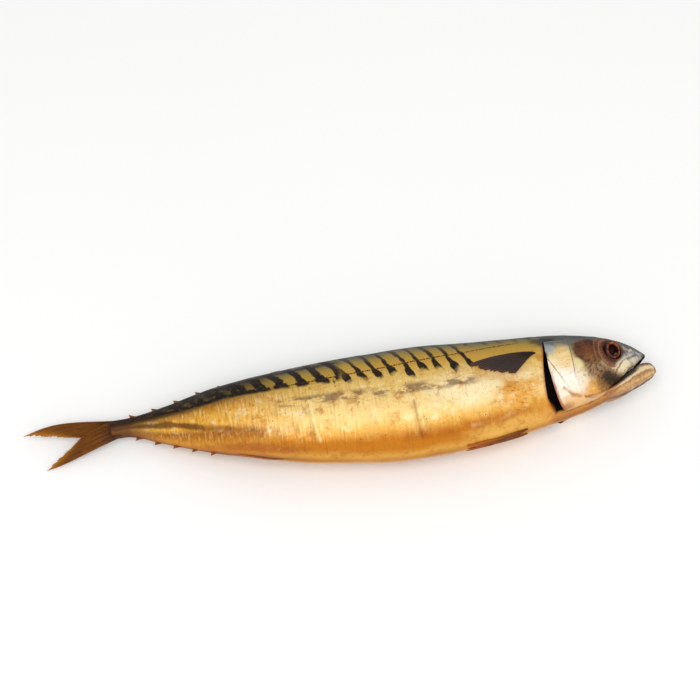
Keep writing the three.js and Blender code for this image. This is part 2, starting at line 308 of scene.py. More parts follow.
def slab(top: Array, bottom: Array, measures: dict[str, Array]) -> Draft:
    """Closes two facing sheets of points with a rim.

    Args:
        top: The upper sheet, rows by columns by 3.
        bottom: The lower sheet, of the same size.
        measures: What each point of the sheets measures, given once for both.

    Returns:
        The closed mesh.
    """
    rows, columns = top.shape[:2]
    rings = np.concatenate([top, bottom[:, ::-1]], axis=1)
    wide = {}
    for key, values in measures.items():
        sheet = np.broadcast_to(values, (rows, columns))
        wide[key] = np.concatenate([sheet, sheet[:, ::-1]], axis=1)
    wide["underside"] = np.concatenate([np.zeros((rows, columns)), np.ones((rows, columns))], axis=1)
    faces = tube(rows, 2 * columns).tolist()
    last = (rows - 1) * 2 * columns
    for j in range(columns - 1):
        k = 2 * columns - 1 - j
        faces.append([j, k, k - 1, j + 1])
        faces.append([last + j + 1, last + k - 1, last + k, last + j])
    return Draft(rings, faces, wide)


def outward(draft: Draft) -> Draft:
    """Turns a closed mesh's faces out, if they face in."""
    points = draft.points.reshape(-1, 3)
    a, b, c = (points[[face[k] for face in draft.faces]] for k in range(3))
    d = points[[face[-1] for face in draft.faces]]
    volume = np.einsum("ij,ij->i", a, np.cross(b, c)).sum() + np.einsum("ij,ij->i", a, np.cross(c, d)).sum()
    if volume < 0:
        draft.faces = [face[::-1] for face in draft.faces]
        if draft.sheet_map is not None:
            draft.sheet_map = draft.sheet_map[:, ::-1]
    return draft


# ---------------------------------------------------------------- the skin


@dataclass(frozen=True)
class BodyShape:
    """The body's sizes, and its outline as shares of its depth and of half its width."""

    length: float = 0.288
    depth: float = 0.0635
    width: float = 0.0396
    tail_droop: float = 0.010
    tail_roll: float = math.radians(18.0)
    droop_start: float = 0.72
    outline: tuple[tuple[float, float, float, float], ...] = (
        (0.000, 0.020, -0.030, 0.05),
        (0.012, 0.076, -0.090, 0.15),
        (0.038, 0.154, -0.190, 0.39),
        (0.090, 0.240, -0.345, 0.69),
        (0.160, 0.295, -0.444, 0.87),
        (0.229, 0.321, -0.512, 0.94),
        (0.333, 0.351, -0.592, 0.99),
        (0.455, 0.376, -0.624, 1.00),
        (0.576, 0.362, -0.573, 0.95),
        (0.681, 0.334, -0.482, 0.83),
        (0.785, 0.285, -0.346, 0.63),
        (0.906, 0.203, -0.108, 0.30),
        (0.965, 0.176, 0.014, 0.19),
        (1.000, 0.172, 0.024, 0.17),
    )


class Skin:
    """The smooth surface of the fish, placed by the frame's body node."""

    def __init__(self, shape: BodyShape) -> None:
        """Ties the surface to the frame: tail end, highest back and middle plane."""
        self.shape = shape
        self.knots, self.back, self.belly, self.flank = np.array(shape.outline).T
        low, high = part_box("body")
        self.tail_end = low.x
        self.zero_level = high.y - shape.depth * self.back.max()
        self.trunk_height = high.z - shape.width / 2

    def along(self, station: Array) -> Array:
        """The X coordinate of a station."""
        return self.tail_end + self.shape.length * (1.0 - np.asarray(station, float))

    def level(self, share: Array) -> Array:
        """The Y coordinate of a share of the body's depth."""
        return self.zero_level + self.shape.depth * np.asarray(share, float)

    def sag(self, station: Array) -> Array:
        """How far the tail has sagged, from 0 to 1."""
        return smooth(self.shape.droop_start, 1.0, station)

    def mid_height(self, station: Array) -> Array:
        """The Z coordinate of the body's middle plane."""
        return self.trunk_height - self.shape.tail_droop * self.sag(station)

    def axis_level(self, station: Array) -> Array:
        """The Y coordinate halfway between belly and back."""
        middle = (through(self.knots, self.back, station) + through(self.knots, self.belly, station)) / 2
        return self.level(middle)

    def half_depth(self, station: Array) -> Array:
        """Half the distance from belly to back."""
        spread = through(self.knots, self.back, station) - through(self.knots, self.belly, station)
        return self.shape.depth * spread / 2

    def half_width(self, station: Array) -> Array:
        """Half the distance from flank to flank."""
        return self.shape.width / 2 * through(self.knots, self.flank, station)

    def per_degree(self, station: Array) -> Array:
        """Millimetres of skin to a degree of girth, averaged round the body."""
        return math.radians(1.0) * (self.half_depth(station) + self.half_width(station)) / 2 / MM

    def share(self, millimetres: Array) -> Array:
        """Millimetres of length as a share of the body's length."""
        return millimetres * MM / self.shape.length

    def millimetres(self, share: Array) -> Array:
        """A share of the body's length in millimetres."""
        return share * self.shape.length / MM

    def turned(self, station: Array, up: Array, out: Array) -> Array:
        """A point at a station, from its distances towards the back and the right flank.

        Args:
            station: Shares of the body's length behind the snout.
            up: Distances from the body's axis towards the back.
            out: Distances towards the right flank.

        Returns:
            Points, with the tail's roll and sag.
        """
        roll = self.shape.tail_roll * self.sag(station)
        y = self.axis_level(station) + up * np.cos(roll) - out * np.sin(roll)
        z = self.mid_height(station) + up * np.sin(roll) + out * np.cos(roll)
        return np.stack(np.broadcast_arrays(self.along(station), y, z), axis=-1)

    def place(self, station: Array, angle: Array, lift: Array | float = 0.0) -> Array:
        """Finds points on the skin.

        Args:
            station: Shares of the body's length behind the snout.
            angle: Girth angles in degrees, all the way round.
            lift: How far above the skin, in metres.

        Returns:
            Points, with a last axis of 3.
        """
        turn = np.radians(angle)
        up = (self.half_depth(station) + lift) * np.sin(turn)
        out = (self.half_width(station) + lift) * np.cos(turn)
        return self.turned(station, up, out)

    def spot(self, place: Spot, flank: Flank, lift: float = 0.0) -> Vector:
        """A point on one flank, from millimetres behind the snout and folded girth."""
        angle = place[1] if flank is Flank.RIGHT else 180.0 - place[1]
        return Vector(self.place(np.array(self.share(place[0])), np.array(angle), lift))


@dataclass(frozen=True)
class GillOpening:
    """The gill cover's outline and the slit behind it, over a range of girth."""

    low: float = -71.0
    high: float = 38.0
    gap: float = 5.2  # millimetres, where the slit is widest
    chamber: float = 7.2  # millimetres, the hollow's depth at the slit
    bed: float = 2.6  # millimetres, the hollow's depth under the cover's front
    wall: float = 0.0013  # share of the length that the slit's rear wall leans over

    def across(self, girth: Array) -> Array:
        """Girth as a share from the throat (0) to the nape (1)."""
        return np.clip((np.asarray(girth, float) - self.low) / (self.high - self.low), 0, 1)

    def front(self, across: Array) -> Array:
        """The station of the cover's front edge."""
        return blend(0.128, 0.146, np.minimum(1.0, 2.2 * across))

    def rear(self, across: Array) -> Array:
        """The station of the cover's free edge."""
        return 0.194 - 0.023 * (1 - across) ** 3 - 0.006 * across**4

    def slit(self, across: Array, skin: Skin) -> Array:
        """The station of the slit's rear edge."""
        return self.rear(across) + skin.share(self.gap) * np.minimum(1.0, 1.35 * (1 - across))


@dataclass(frozen=True)
class Mouth:
    """The open mouth: the upper jaw's lower edge and the lower jaw's outline."""

    edge: tuple[Knot, ...] = (
        (0.001, -0.002),
        (0.020, -0.080),
        (0.036, -0.158),
        (0.058, -0.228),
        (0.078, -0.305),
        (0.094, -0.420),
    )
    jaw_top: tuple[Knot, ...] = (
        (0.100, -0.320),
        (0.075, -0.285),
        (0.052, -0.216),
        (0.032, -0.148),
        (0.013, -0.098),
        (-0.003, -0.091),
        (-0.0125, -0.122),
    )
    jaw_bottom: tuple[Knot, ...] = (
        (0.100, -0.336),
        (0.078, -0.340),
        (0.054, -0.318),
        (0.032, -0.280),
        (0.0133, -0.242),
        (-0.003, -0.203),
        (-0.0135, -0.156),
    )
    narrowing: tuple[float, ...] = (0.70, 0.97, 0.98, 0.88, 0.72, 0.52, 0.22)
    jaw_half_width: float = 0.0074
    lip: float = 0.0009
    arch: float = 0.0045


# ---------------------------------------------------------------- relief of the skin


@dataclass(frozen=True)
class Fold:
    """A ridge of the skin, or a groove where its height is negative. Millimetres."""

    route: tuple[Spot, ...]
    height: float
    width: float
    flat: float = 0.0  # half the breadth of a level top
    flank: Flank = Flank.BOTH
    uneven: bool = True

    def lift(self, ground: Ground) -> Array:
        """How far the fold lifts places on the skin, in millimetres, negative in a groove."""
        behind, girth = ground.behind, ground.girth
        beyond = np.maximum(reach(self.route, ground) - self.flat, 0.0)
        held = 1.0 if self.flank is Flank.BOTH else ground.side == self.flank.value
        if self.uneven:
            held = held * (0.75 + 0.6 * Grain(77).at(behind / 5, girth / 11))
            beyond = beyond + 0.5 * np.abs(Grain(78).at(behind / 3, girth / 7))
        return self.height * np.exp(-((beyond / self.width) ** 2)) * held


EYE: Spot = (18.4, 13.0)
EYE_GIRTH_SCALE = 0.225  # millimetres to a degree beside the eye
LATERAL_LINE: tuple[Spot, ...] = ((66, 46), (89, 35), (108, 31), (136, 28.5), (161, 25), (183, 21))
MAXILLA: tuple[Spot, ...] = ((12.5, -27), (15.5, -38), (18.0, -48))

FOLDS: tuple[Fold, ...] = (
    Fold(LATERAL_LINE, -0.14, 0.5, uneven=False),
    Fold(((128.9, -14), (128.2, -36), (127.2, -56)), -0.42, 0.95, flank=Flank.RIGHT, uneven=False),
    Fold(((131.0, -20), (130.2, -50)), 0.4, 1.2, flank=Flank.RIGHT),
    Fold(((126.0, -34), (125.2, -50)), 0.3, 1.3, flank=Flank.RIGHT),
    Fold(((182.8, -4), (182.0, -30), (180.4, -50)), 0.5, 1.3, flank=Flank.RIGHT, uneven=False),
    Fold(((186.2, -10), (185.0, -44)), -0.3, 1.6, flank=Flank.RIGHT),
    Fold(((190, -44), (193, -52), (194, -60)), 0.22, 0.8, flank=Flank.RIGHT),
    Fold(((197, -50), (199, -58), (203, -66)), 0.26, 0.9, flank=Flank.RIGHT),
    Fold(((201, -40), (203, -52), (209, -68)), 0.34, 0.9, flank=Flank.RIGHT),
    Fold(((208, -38), (209, -46), (213, -54)), 0.24, 0.8, flank=Flank.RIGHT),
    Fold(((215, -44), (216, -52), (220, -60)), 0.2, 0.8, flank=Flank.RIGHT),
    Fold(((74, -36), (84, -30), (96, -34)), -0.25, 1.2, flank=Flank.RIGHT),
    Fold(((66, -18), (76, -28), (82, -42)), 0.3, 1.6, flank=Flank.RIGHT),
    Fold(((70, -44), (84, -52), (100, -52)), 0.3, 1.8, flank=Flank.RIGHT),
    Fold(((140, -26), (139, -52)), -0.3, 1.0, flank=Flank.LEFT),
    Fold(((171, -8), (168, -44)), 0.4, 1.4, flank=Flank.LEFT),
    Fold(((214, -34), (243, -21), (258, -8), (282, -5)), -0.3, 1.6),
    Fold(((256, 4), (270, 1), (286, 0)), 0.7, 1.5),
    Fold(MAXILLA, 0.55, 0.8, flat=2.2, uneven=False),
    Fold(tuple(arc(EYE, 6.4, -110, 95, EYE_GIRTH_SCALE)), 0.65, 0.9, uneven=False),
    Fold(tuple(arc(EYE, 9.2, -75, 60, EYE_GIRTH_SCALE)), 0.4, 1.0, uneven=False),
    Fold(tuple(arc(EYE, 4.9, 95, 265, EYE_GIRTH_SCALE)), 0.35, 0.8),
    Fold(((7.2, 18), (7.9, 15)), -0.5, 0.6),
    Fold(((10.5, 24), (10.9, 20)), -0.4, 0.5),
    Fold(((36, -60), (32, -66), (24, -70)), -0.35, 0.8),
    Fold(((46, -78), (58, -82)), -0.25, 0.8),
    Fold(((34, 4), (39, -22), (37, -44)), 0.35, 2.4),
    Fold(((21, -22), (29, -34), (27, -52)), -0.2, 1.4),
)


@dataclass(frozen=True)
class Wrinkles:
    """A patch of fine wrinkles that run round the body."""

    start: float
    end: float
    low: float
    high: float
    height: float
    pitch: float
    seed: int

    def lift(self, ground: Ground) -> Array:
        """How far the wrinkles lift places on the skin, in millimetres."""
        behind, girth = ground.behind, ground.girth
        noise = Grain(self.seed)
        bent = behind + 1.6 * noise.at(behind / 14, girth / 16)
        ridged = 1.0 - 2.0 * np.abs(noise.at(bent / self.pitch, girth / 34 + 7))
        fade = smooth(self.start, self.start + 14, behind) * smooth(self.end, self.end - 16, behind)
        fade = fade * smooth(self.low, self.low + 14, girth) * smooth(self.high, self.high - 14, girth)
        return self.height * ridged * fade * (0.65 + 0.35 * noise.at(behind / 9, girth / 12))


WRINKLES: tuple[Wrinkles, ...] = (
    Wrinkles(186, 276, -52, 14, 0.16, 1.5, 11),
    Wrinkles(160, 252, -78, -30, 0.12, 2.6, 12),
    Wrinkles(66, 190, -60, 12, 0.05, 2.2, 13),
    Wrinkles(60, 130, -88, -50, 0.07, 3.4, 14),
)


# ---------------------------------------------------------------- shader maths

Number = Union["Signal", float]


def operator(operation: str, swapped: bool = False) -> Callable[["Signal", Number], "Signal"]:
    """Makes one of Signal's operators.

    Args:
        operation: The Math node's operation.
        swapped: Whether the other term comes first.

    Returns:
        The method.
    """

    def operate(self: "Signal", other: Number) -> "Signal":
        """A Math node on self and the other term."""
        terms = (other, self) if swapped else (self, other)
        return self.math(operation, *terms)

    return operate


class Signal:
    """A value, colour or vector in a shader, from one output socket."""

    def __init__(self, tree: "ShaderTree", socket: bpy.types.NodeSocket) -> None:
        """Wraps a socket of a tree."""
        self.tree = tree
        self.socket = socket

    def math(self, operation: str, *terms: Number) -> "Signal":
        """A Math node on some terms."""
        return self.tree.add("ShaderNodeMath", {"operation": operation}, dict(enumerate(terms)))

    __add__, __radd__ = operator("ADD"), operator("ADD", swapped=True)
    __sub__, __rsub__ = operator("SUBTRACT"), operator("SUBTRACT", swapped=True)
    __mul__, __rmul__ = operator("MULTIPLY"), operator("MULTIPLY", swapped=True)
    __truediv__, __pow__ = operator("DIVIDE"), operator("POWER")
    least, most = operator("MINIMUM"), operator("MAXIMUM")

    def wave(self) -> "Signal":
        """The sine of self in turns, from -1 to 1."""
        return self.math("SINE", self * (2.0 * math.pi))

    def size(self) -> "Signal":
        """self without its sign."""
        return self.math("ABSOLUTE", self)

    def rise(self, low: float, high: float) -> "Signal":
        """Rises smoothly from 0 where self is low to 1 where it is high."""
        inputs = {"Value": self, "From Min": low, "From Max": high}
        return self.tree.add("ShaderNodeMapRange", {"interpolation_type": "SMOOTHSTEP"}, inputs)

    def under(self, code: str, share: Number) -> "Signal":
        """This colour, with a share of another laid over it, from its screen colour code."""
        return self.tree.mix(self, colour(code), share)

    def patch(
        self, code: str, amount: float, centre: Spot, size: Spot, fade: Fade, drift: Sequence[float]
    ) -> "Signal":
        """This colour, with an oval of another laid over it.

        Args:
            code: The oval's screen colour.
            amount: How much of it shows.
            centre: The oval's middle on the skin.
            size: Its half-lengths, in millimetres and degrees.
            fade: How far out it starts to show and is full, as shares of its size.
            drift: The noise that breaks its rim up, as ShaderTree.drift takes it.

        Returns:
            The colour.
        """
        away = self.tree.oval(centre, size) + self.tree.drift(*drift)
        return self.under(code, away.rise(*fade) * amount)

    def lines(
        self, code: str, amount: Number, routes: Sequence[Route], fade: Fade, noise: Number
    ) -> "Signal":
        """This colour, with lines of another drawn over it.

        Args:
            code: The lines' screen colour.
            amount: How much of it shows.
            routes: Each line's first and last point, and millimetres to a degree of girth there.
            fade: How many millimetres away it starts to show and is full.
            noise: What is added to the distance, to break the lines up.

        Returns:
            The colour.
        """
        away = self.tree.stroke(*routes[0])
        for route in routes[1:]:
            away = away.least(self.tree.stroke(*route))
        return self.under(code, (away + noise).rise(*fade) * amount)

    def band(self, low: float, high: float, soft: float) -> "Signal":
        """1 where self is between low and high, fading over soft outside them."""
        return self.rise(low - soft, low) * self.rise(high + soft, high)


class ShaderTree:
    """A material's nodes, written as expressions."""

    def __init__(self, name: str) -> None:
        """Makes an empty material with a Principled BSDF."""
        self.material = bpy.data.materials.new(name)
        self.material.use_nodes = True
        self.nodes = self.material.node_tree.nodes
        self.links = self.material.node_tree.links
        self.nodes.clear()
        self.shader = self.nodes.new("ShaderNodeBsdfPrincipled")
        output = self.nodes.new("ShaderNodeOutputMaterial")
        self.links.new(self.shader.outputs[0], output.inputs["Surface"])

    def feed(self, socket: bpy.types.NodeSocket, value: Any) -> None:
        """Links a signal to a socket, or sets the socket's own value."""
        if isinstance(value, Signal):
            self.links.new(value.socket, socket)
        else:
            socket.default_value = value

    def add(self, kind: str, settings: dict[str, Any], inputs: dict[Any, Any], output: Any = 0) -> Signal:
        """Adds a node.

        Args:
            kind: The node's type.
            settings: The node's own settings, set first; stops are a colour ramp's.
            inputs: Values or signals for its sockets, by name or number.
            output: The socket that is wanted, by name or number.

        Returns:
            The wanted output.
        """
        node = self.nodes.new(kind)
        for key, value in settings.items():
            if key == "stops":
                self._set_stops(node.color_ramp, value)
            else:
                setattr(node, key, value)
        for key, value in inputs.items():
            self.feed(node.inputs[key], value)
        return Signal(self, node.outputs[output])

    @staticmethod
    def _set_stops(ramp: bpy.types.ColorRamp, stops: Sequence[tuple[float, Colour]]) -> None:
        """Sets a colour ramp's stops, which rise."""
        while len(ramp.elements) < len(stops):
            ramp.elements.new(0.5)
        for element, (position, tint) in zip(ramp.elements, stops):
            element.position = position
            element.color = tint

    def measure(self, name: str) -> Signal:
        """Reads what the mesh's points measure."""
        return self.add("ShaderNodeAttribute", {"attribute_name": name}, {}, "Fac")

    def place(self) -> Signal:
        """The place on the object, in metres."""
        return self.add("ShaderNodeTexCoord", {}, {}, "Object")

    def vector(self, x: Number, y: Number, z: Number = 0.0) -> Signal:
        """A vector from three values."""
        return self.add("ShaderNodeCombineXYZ", {}, {0: x, 1: y, 2: z})

    def noise(self, where: Signal, feature: float, detail: float = 2.0, rough: float = 0.5) -> Signal:
        """Soft noise around 0.5.

        Args:
            where: The coordinates.
            feature: The size of its features, in the coordinates' unit.
            detail: How many finer layers it has.
            rough: How strong the finer layers are.

        Returns:
            Values from about 0.2 to 0.8.
        """
        inputs = {"Vector": where, "Scale": 1.0 / feature, "Detail": detail, "Roughness": rough}
        return self.add("ShaderNodeTexNoise", {}, inputs, "Fac")

    def drift(self, swing: float, feature: float, detail: float = 2.0, rough: float = 0.5) -> Signal:
        """Soft noise over the object around 0, a swing times as strong as plain noise."""
        return swing * (self.noise(self.place(), feature, detail, rough) - 0.5)

    def cells(self, feature: float) -> Signal:
        """Distances from the hearts of a pattern of cells, as shares of a cell."""
        inputs = {"Vector": self.place(), "Scale": 1.0 / feature}
        return self.add("ShaderNodeTexVoronoi", {"feature": "F1"}, inputs, "Distance")

    def mix(self, under: Any, over: Any, share: Number) -> Signal:
        """Lays one colour over another.

        Args:
            under: The colour below.
            over: The colour above.
            share: How much of the upper one shows.

        Returns:
            The mixed colour.
        """
        settings = {"data_type": "RGBA", "blend_type": "MIX", "clamp_factor": True}
        return self.add("ShaderNodeMix", settings, {0: share, 6: under, 7: over}, 2)

    def ramp(self, value: Signal, low: float, high: float, stops: Sequence[tuple[float, Colour]]) -> Signal:
        """A run of colours along a value.

        Args:
            value: What the colours follow.
            low: The value at the ramp's start.
            high: The value at its end.
            stops: Values and their colours, rising.

        Returns:
            The colour.
        """
        scaled = [((stop - low) / (high - low), tint) for stop, tint in stops]
        return self.add("ShaderNodeValToRGB", {"stops": scaled}, {0: (value - low) / (high - low)})

    def oval(self, centre: Spot, size: Spot) -> Signal:
        """Distance from the middle of an oval on the skin, 1 on its rim.

        Args:
            centre: The oval's middle.
            size: Its half-lengths, in millimetres and degrees.

        Returns:
            The distance.
        """
        x = (self.measure("behind") - centre[0]) / size[0]
        y = (self.measure("girth") - centre[1]) / size[1]
        return (x * x + y * y) ** 0.5

    def stroke(self, start: Spot, end: Spot, scale: float) -> Signal:
        """Distance in millimetres from a straight line over the skin.

        Args:
            start: The line's first point.
            end: Its last point.
            scale: Millimetres to a degree of girth there.

        Returns:
            The distance.
        """
        run, rise = end[0] - start[0], (end[1] - start[1]) * scale
        x, y = self.measure("behind") - start[0], (self.measure("girth") - start[1]) * scale
        share = ((x * run + y * rise) / (run * run + rise * rise)).most(0.0).least(1.0)
        dx, dy = x - share * run, y - share * rise
        return (dx * dx + dy * dy) ** 0.5

    def bump(self, height: Signal, distance: float, strength: float = 1.0) -> Signal:
        """A bumpy normal from a height.

        Args:
            height: The height, about 0 to 1.
            distance: Metres that a height of 1 stands for.
            strength: How much of it shows.

        Returns:
            The normal.
        """
        inputs = {"Height": height, "Distance": distance, "Strength": strength}
        return self.add("ShaderNodeBump", {}, inputs, "Normal")

    def dress(self, **sockets: Any) -> bpy.types.Material:
        """Feeds the shader's own sockets, named with underscores for spaces."""
        for name, value in sockets.items():
            self.feed(self.shader.inputs[name.replace("_", " ")], value)
        return self.material


def colour(code: str) -> Colour:
    """A colour in linear light from six hexadecimal digits of screen colour."""
    parts = [int(code[i : i + 2], 16) / 255.0 for i in (0, 2, 4)]
    linear = [p / 12.92 if p <= 0.04045 else ((p + 0.055) / 1.055) ** 2.4 for p in parts]
    return (linear[0], linear[1], linear[2], 1.0)


def tints(*stops: tuple[float, str]) -> tuple[tuple[float, Colour], ...]:
    """Values with their colours, from screen colour codes."""
    return tuple((value, colour(code)) for value, code in stops)


# ---------------------------------------------------------------- finishes


@dataclass(frozen=True)
class SmokedSkin:
    """Gold skin with dark bars over the back, and the bony skin of the head."""

    name: str = "smoked_skin"
    roughness: float = 0.36
    bar_pitch: float = 8.2  # millimetres from bar to bar
    rear_pitch: float = 10.5  # the same towards the tail
    bar_lean: float = 0.19  # millimetres towards the tail for each degree of girth
    head_end: float = 57.0  # millimetres behind the snout

    def material(self) -> bpy.types.Material:
        """Builds the material."""
        tree = ShaderTree(self.name)
        behind, girth = tree.measure("behind"), tree.measure("girth")
        hollow, relief = tree.measure("hollow"), tree.measure("relief")
        base = self.flanks(tree, behind, girth)
        body_layers = (self.front_bars, self.rear_back, self.flank_marks)
        head_layers = (self.head, self.face, self.lid_and_scorch)
        for layer in (*body_layers, *head_layers, self.details):
            base = layer(tree, base, behind, girth)
        on_body = behind.rise(55, 70)
        # Raised folds and wrinkles are lightened: painted highlight on their crests.
        raised = relief.rise(0.08, 0.6) * 0.42 * on_body * behind.rise(252, 236)
        base = base.under("ffe9a6", raised)
        # Grooves are darkened, dark brown on the head and orange-brown on the body: painted shade in the
        # creases.
        sunken = tree.mix(colour("2c1d14"), colour("7a3a06"), on_body)
        base = tree.mix(base, sunken, relief.rise(-0.05, -0.5) * 0.6)
        grain = tree.noise(tree.place(), 0.0016, 5.0, 0.75)
        base = base.under("7a4a10", grain.rise(0.52, 0.72) * 0.4 * on_body)
        pale = grain.rise(0.46, 0.28) * 0.2 * on_body * behind.rise(262, 246) * girth.band(-40, 14, 10)
        base = base.under("fff0c0", pale)
        # The gill chambers, the depths of the eye sockets and the palate are painted near black: painted
        # shade in the hollows.
        base = base.under("050302", hollow)
        fine = tree.noise(tree.place(), 0.0009, 3.0, 0.6)
        round_lines = tree.noise(tree.vector(behind / 0.9, girth / 16.0), 1.0, 2.0)
        tailward = behind.rise(150, 200)
        height = fine * 0.5 + round_lines * (0.35 + 0.65 * tailward)
        above = girth.rise(18, 50)
        rough = self.roughness + 0.22 * tree.noise(tree.place(), 0.007, 2.0) - 0.06 * tailward
        rough = rough + 0.4 * hollow + 0.08 * behind.rise(60, 45) + 0.12 * above
        return tree.dress(
            Base_Color=base,
            Roughness=rough,
            Metallic=0.25 * on_body * (1 - above) * (1 - hollow),
            Coat_Weight=0.12 * (1 - hollow) * (1 - above),
            Coat_Roughness=0.25,
            Specular_IOR_Level=0.16,
            Normal=tree.bump(height, 0.00022, 0.7),
        )

    def flanks(self, tree: ShaderTree, behind: Signal, girth: Signal) -> Signal:
        """The gold of the flanks, orange towards the belly, with painted highlight where the key light falls.
        """
        place = tree.place()
        shifted = girth + tree.drift(20.0, 0.022, 3.0)
        # Both ramps are palest round girth -25: partly the skin's own paler gold, partly painted highlight
        # where the flank faces the key light.
        front = tree.ramp(shifted, -90.0, 90.0, tints(
            (-90, "bb7a26"), (-77, "dca040"), (-66, "c87a18"), (-54, "cb7c14"), (-42, "e2a846"),
            (-24, "f4d288"), (-6, "edca7e"), (12, "dcb662"), (26, "c69a3e"), (40, "a88836"),
            (54, "746a46"), (66, "4a4d48"), (90, "383b3d"),
        ))
        tail = tree.ramp(shifted * 0.6 + girth * 0.4, -90.0, 90.0, tints(
            (-90, "7f3f16"), (-74, "c47a22"), (-60, "d39434"), (-46, "bd7616"), (-35, "a05c08"),
            (-20, "eaac3a"), (-4, "e6a838"), (10, "c08424"), (22, "5a3c14"), (36, "2c2114"),
            (60, "2a2620"), (90, "232222"),
        ))
        base = tree.mix(front, tail, (behind + tree.drift(40.0, 0.03)).rise(168, 240))
        # A cream patch over the mid-flank: painted highlight.
        base = base.patch("fbe9ba", 0.8, (96, -10), (38, 24), (1.15, 0.3), (1.6, 0.011, 4.0, 0.6))
        amber = tree.oval((112, -52), (58, 11)) + tree.drift(1.3, 0.010, 4.0, 0.6)
        base = base.under("ac5602", 0.75 * amber.rise(1.2, 0.2) * tree.noise(place, 0.02).rise(0.35, 0.6))
        base = base.patch("dc9426", 0.85, (74, -26), (14, 19), (1.2, 0.3), (1.6, 0.008, 4.0, 0.6))
        # A pale gold patch low on the flank: painted sheen.
        base = base.patch("f0bc5e", 0.7, (78, -66), (30, 15), (1.2, 0.4), (1.2, 0.007, 4.0, 0.6))
        base = base.patch("ac5a22", 0.65, (214, -64), (30, 12), (1.1, 0.4), (1.6, 0.006, 5.0, 0.65))
        streaks = tree.noise(tree.vector(behind / 1.1, girth / 24.0), 1.0, 3.0, 0.6)
        tailward = 0.3 + 0.7 * behind.rise(130, 200)
        base = base.under("fdeaa6", streaks.rise(0.5, 0.72) * 0.42 * tailward * girth.band(-46, 10, 12))
        base = base.under("8f4e08", streaks.rise(0.5, 0.3) * 0.45 * tailward * girth.band(-70, 14, 10))
        clouds = tree.noise(place, 0.0065, 4.0, 0.65)
        base = base.under("b87014", 0.6 * clouds.rise(0.52, 0.7) * girth.band(-84, 14, 10))
        # Pale clouds in the band that faces the key light: partly the skin's own mottling, partly painted
        # highlight.
        return base.under("fdf0c4", 0.4 * clouds.rise(0.46, 0.3) * girth.band(-36, 4, 12))

    def front_bars(self, tree: ShaderTree, base: Signal, behind: Signal, girth: Signal) -> Signal:
        """Dark wavy bars over the back, broad and blotted at their feet."""
        wobble = tree.drift(3.6, 0.010, 2.0)
        phase = (behind - self.bar_lean * girth + wobble) / self.bar_pitch
        foot = 15.0 + 20.0 * (tree.noise(tree.vector(phase, 3.0), 0.9, 0.0) - 0.5)
        above_foot = girth - foot + tree.drift(8.0, 0.0035)
        width = 0.75 * above_foot.rise(13, 5) - 0.25 + tree.drift(1.1, 0.0035, 2.0)
        ends = behind + tree.drift(10.0, 0.012)
        beyond = ends.rise(98, 86) + ends.rise(163, 175)
        bars = (phase.wave() + width - 2.6 * beyond).rise(0.1, 0.6) * above_foot.rise(-2.5, 3.0)
        tint = tree.mix(colour("1e1208"), colour("26292b"), girth.rise(32, 56))
        base = tree.mix(base, tint, bars * blend_signal(1.0, 0.75, girth.rise(34, 60)))
        faint = (phase.wave() + tree.drift(0.8, 0.005)).rise(0.0, 0.9) * ends.rise(98, 86)
        return base.under("383a38", faint * behind.rise(52, 62) * girth.rise(42, 54) * 0.7)

    def rear_back(self, tree: ShaderTree, base: Signal, behind: Signal, girth: Signal) -> Signal:
        """Dark back towards the tail: olive ovals between bars that join in a dark lower edge."""
        place = tree.place()
        wobble = tree.drift(6.0, 0.012, 2.0)
        edge = girth + tree.drift(9.0, 0.009, 3.0, 0.6)
        edge = edge - 17.5 - 5.0 * behind.rise(190, 226) - 7.0 * behind.rise(238, 268)
        dark = edge.rise(-2.5, 3.0)
        rear = (behind + tree.drift(8.0, 0.01)).rise(161, 167)
        tailward = behind.rise(188, 228)
        between = tree.mix(colour("a8882e"), colour("544e34"), girth.rise(28, 48))
        between = tree.mix(between, colour("2c2216"), tailward * 0.9)
        base = tree.mix(base, between, dark * rear * (0.55 + 0.45 * tailward))
        phase = (behind - self.bar_lean * girth + wobble) / self.rear_pitch
        grit = tree.noise(place, 0.003, 3.0, 0.6) - 0.5
        bars = (phase.wave() + 0.25 + 1.3 * grit + tailward * 0.7).rise(0.15, 0.75)
        rim = (edge - 3.0 + 10.0 * grit).size().rise(6.0, 2.5) * phase_gaps(phase, tailward)
        crest = (girth - 52.0 + 14.0 * grit).size().rise(7.0, 2.5)
        lines = bars.most(rim).most(crest * 0.8)
        base = base.under("120b05", lines * dark * rear)
        flecks = tree.noise(tree.vector(behind / 3.0, girth / 9.0), 1.0, 4.0, 0.65).rise(0.56, 0.68)
        flecks = flecks * tailward * dark * behind.rise(276, 262)
        return base.under("8a6c26", flecks * 0.55 * girth.rise(64, 46))

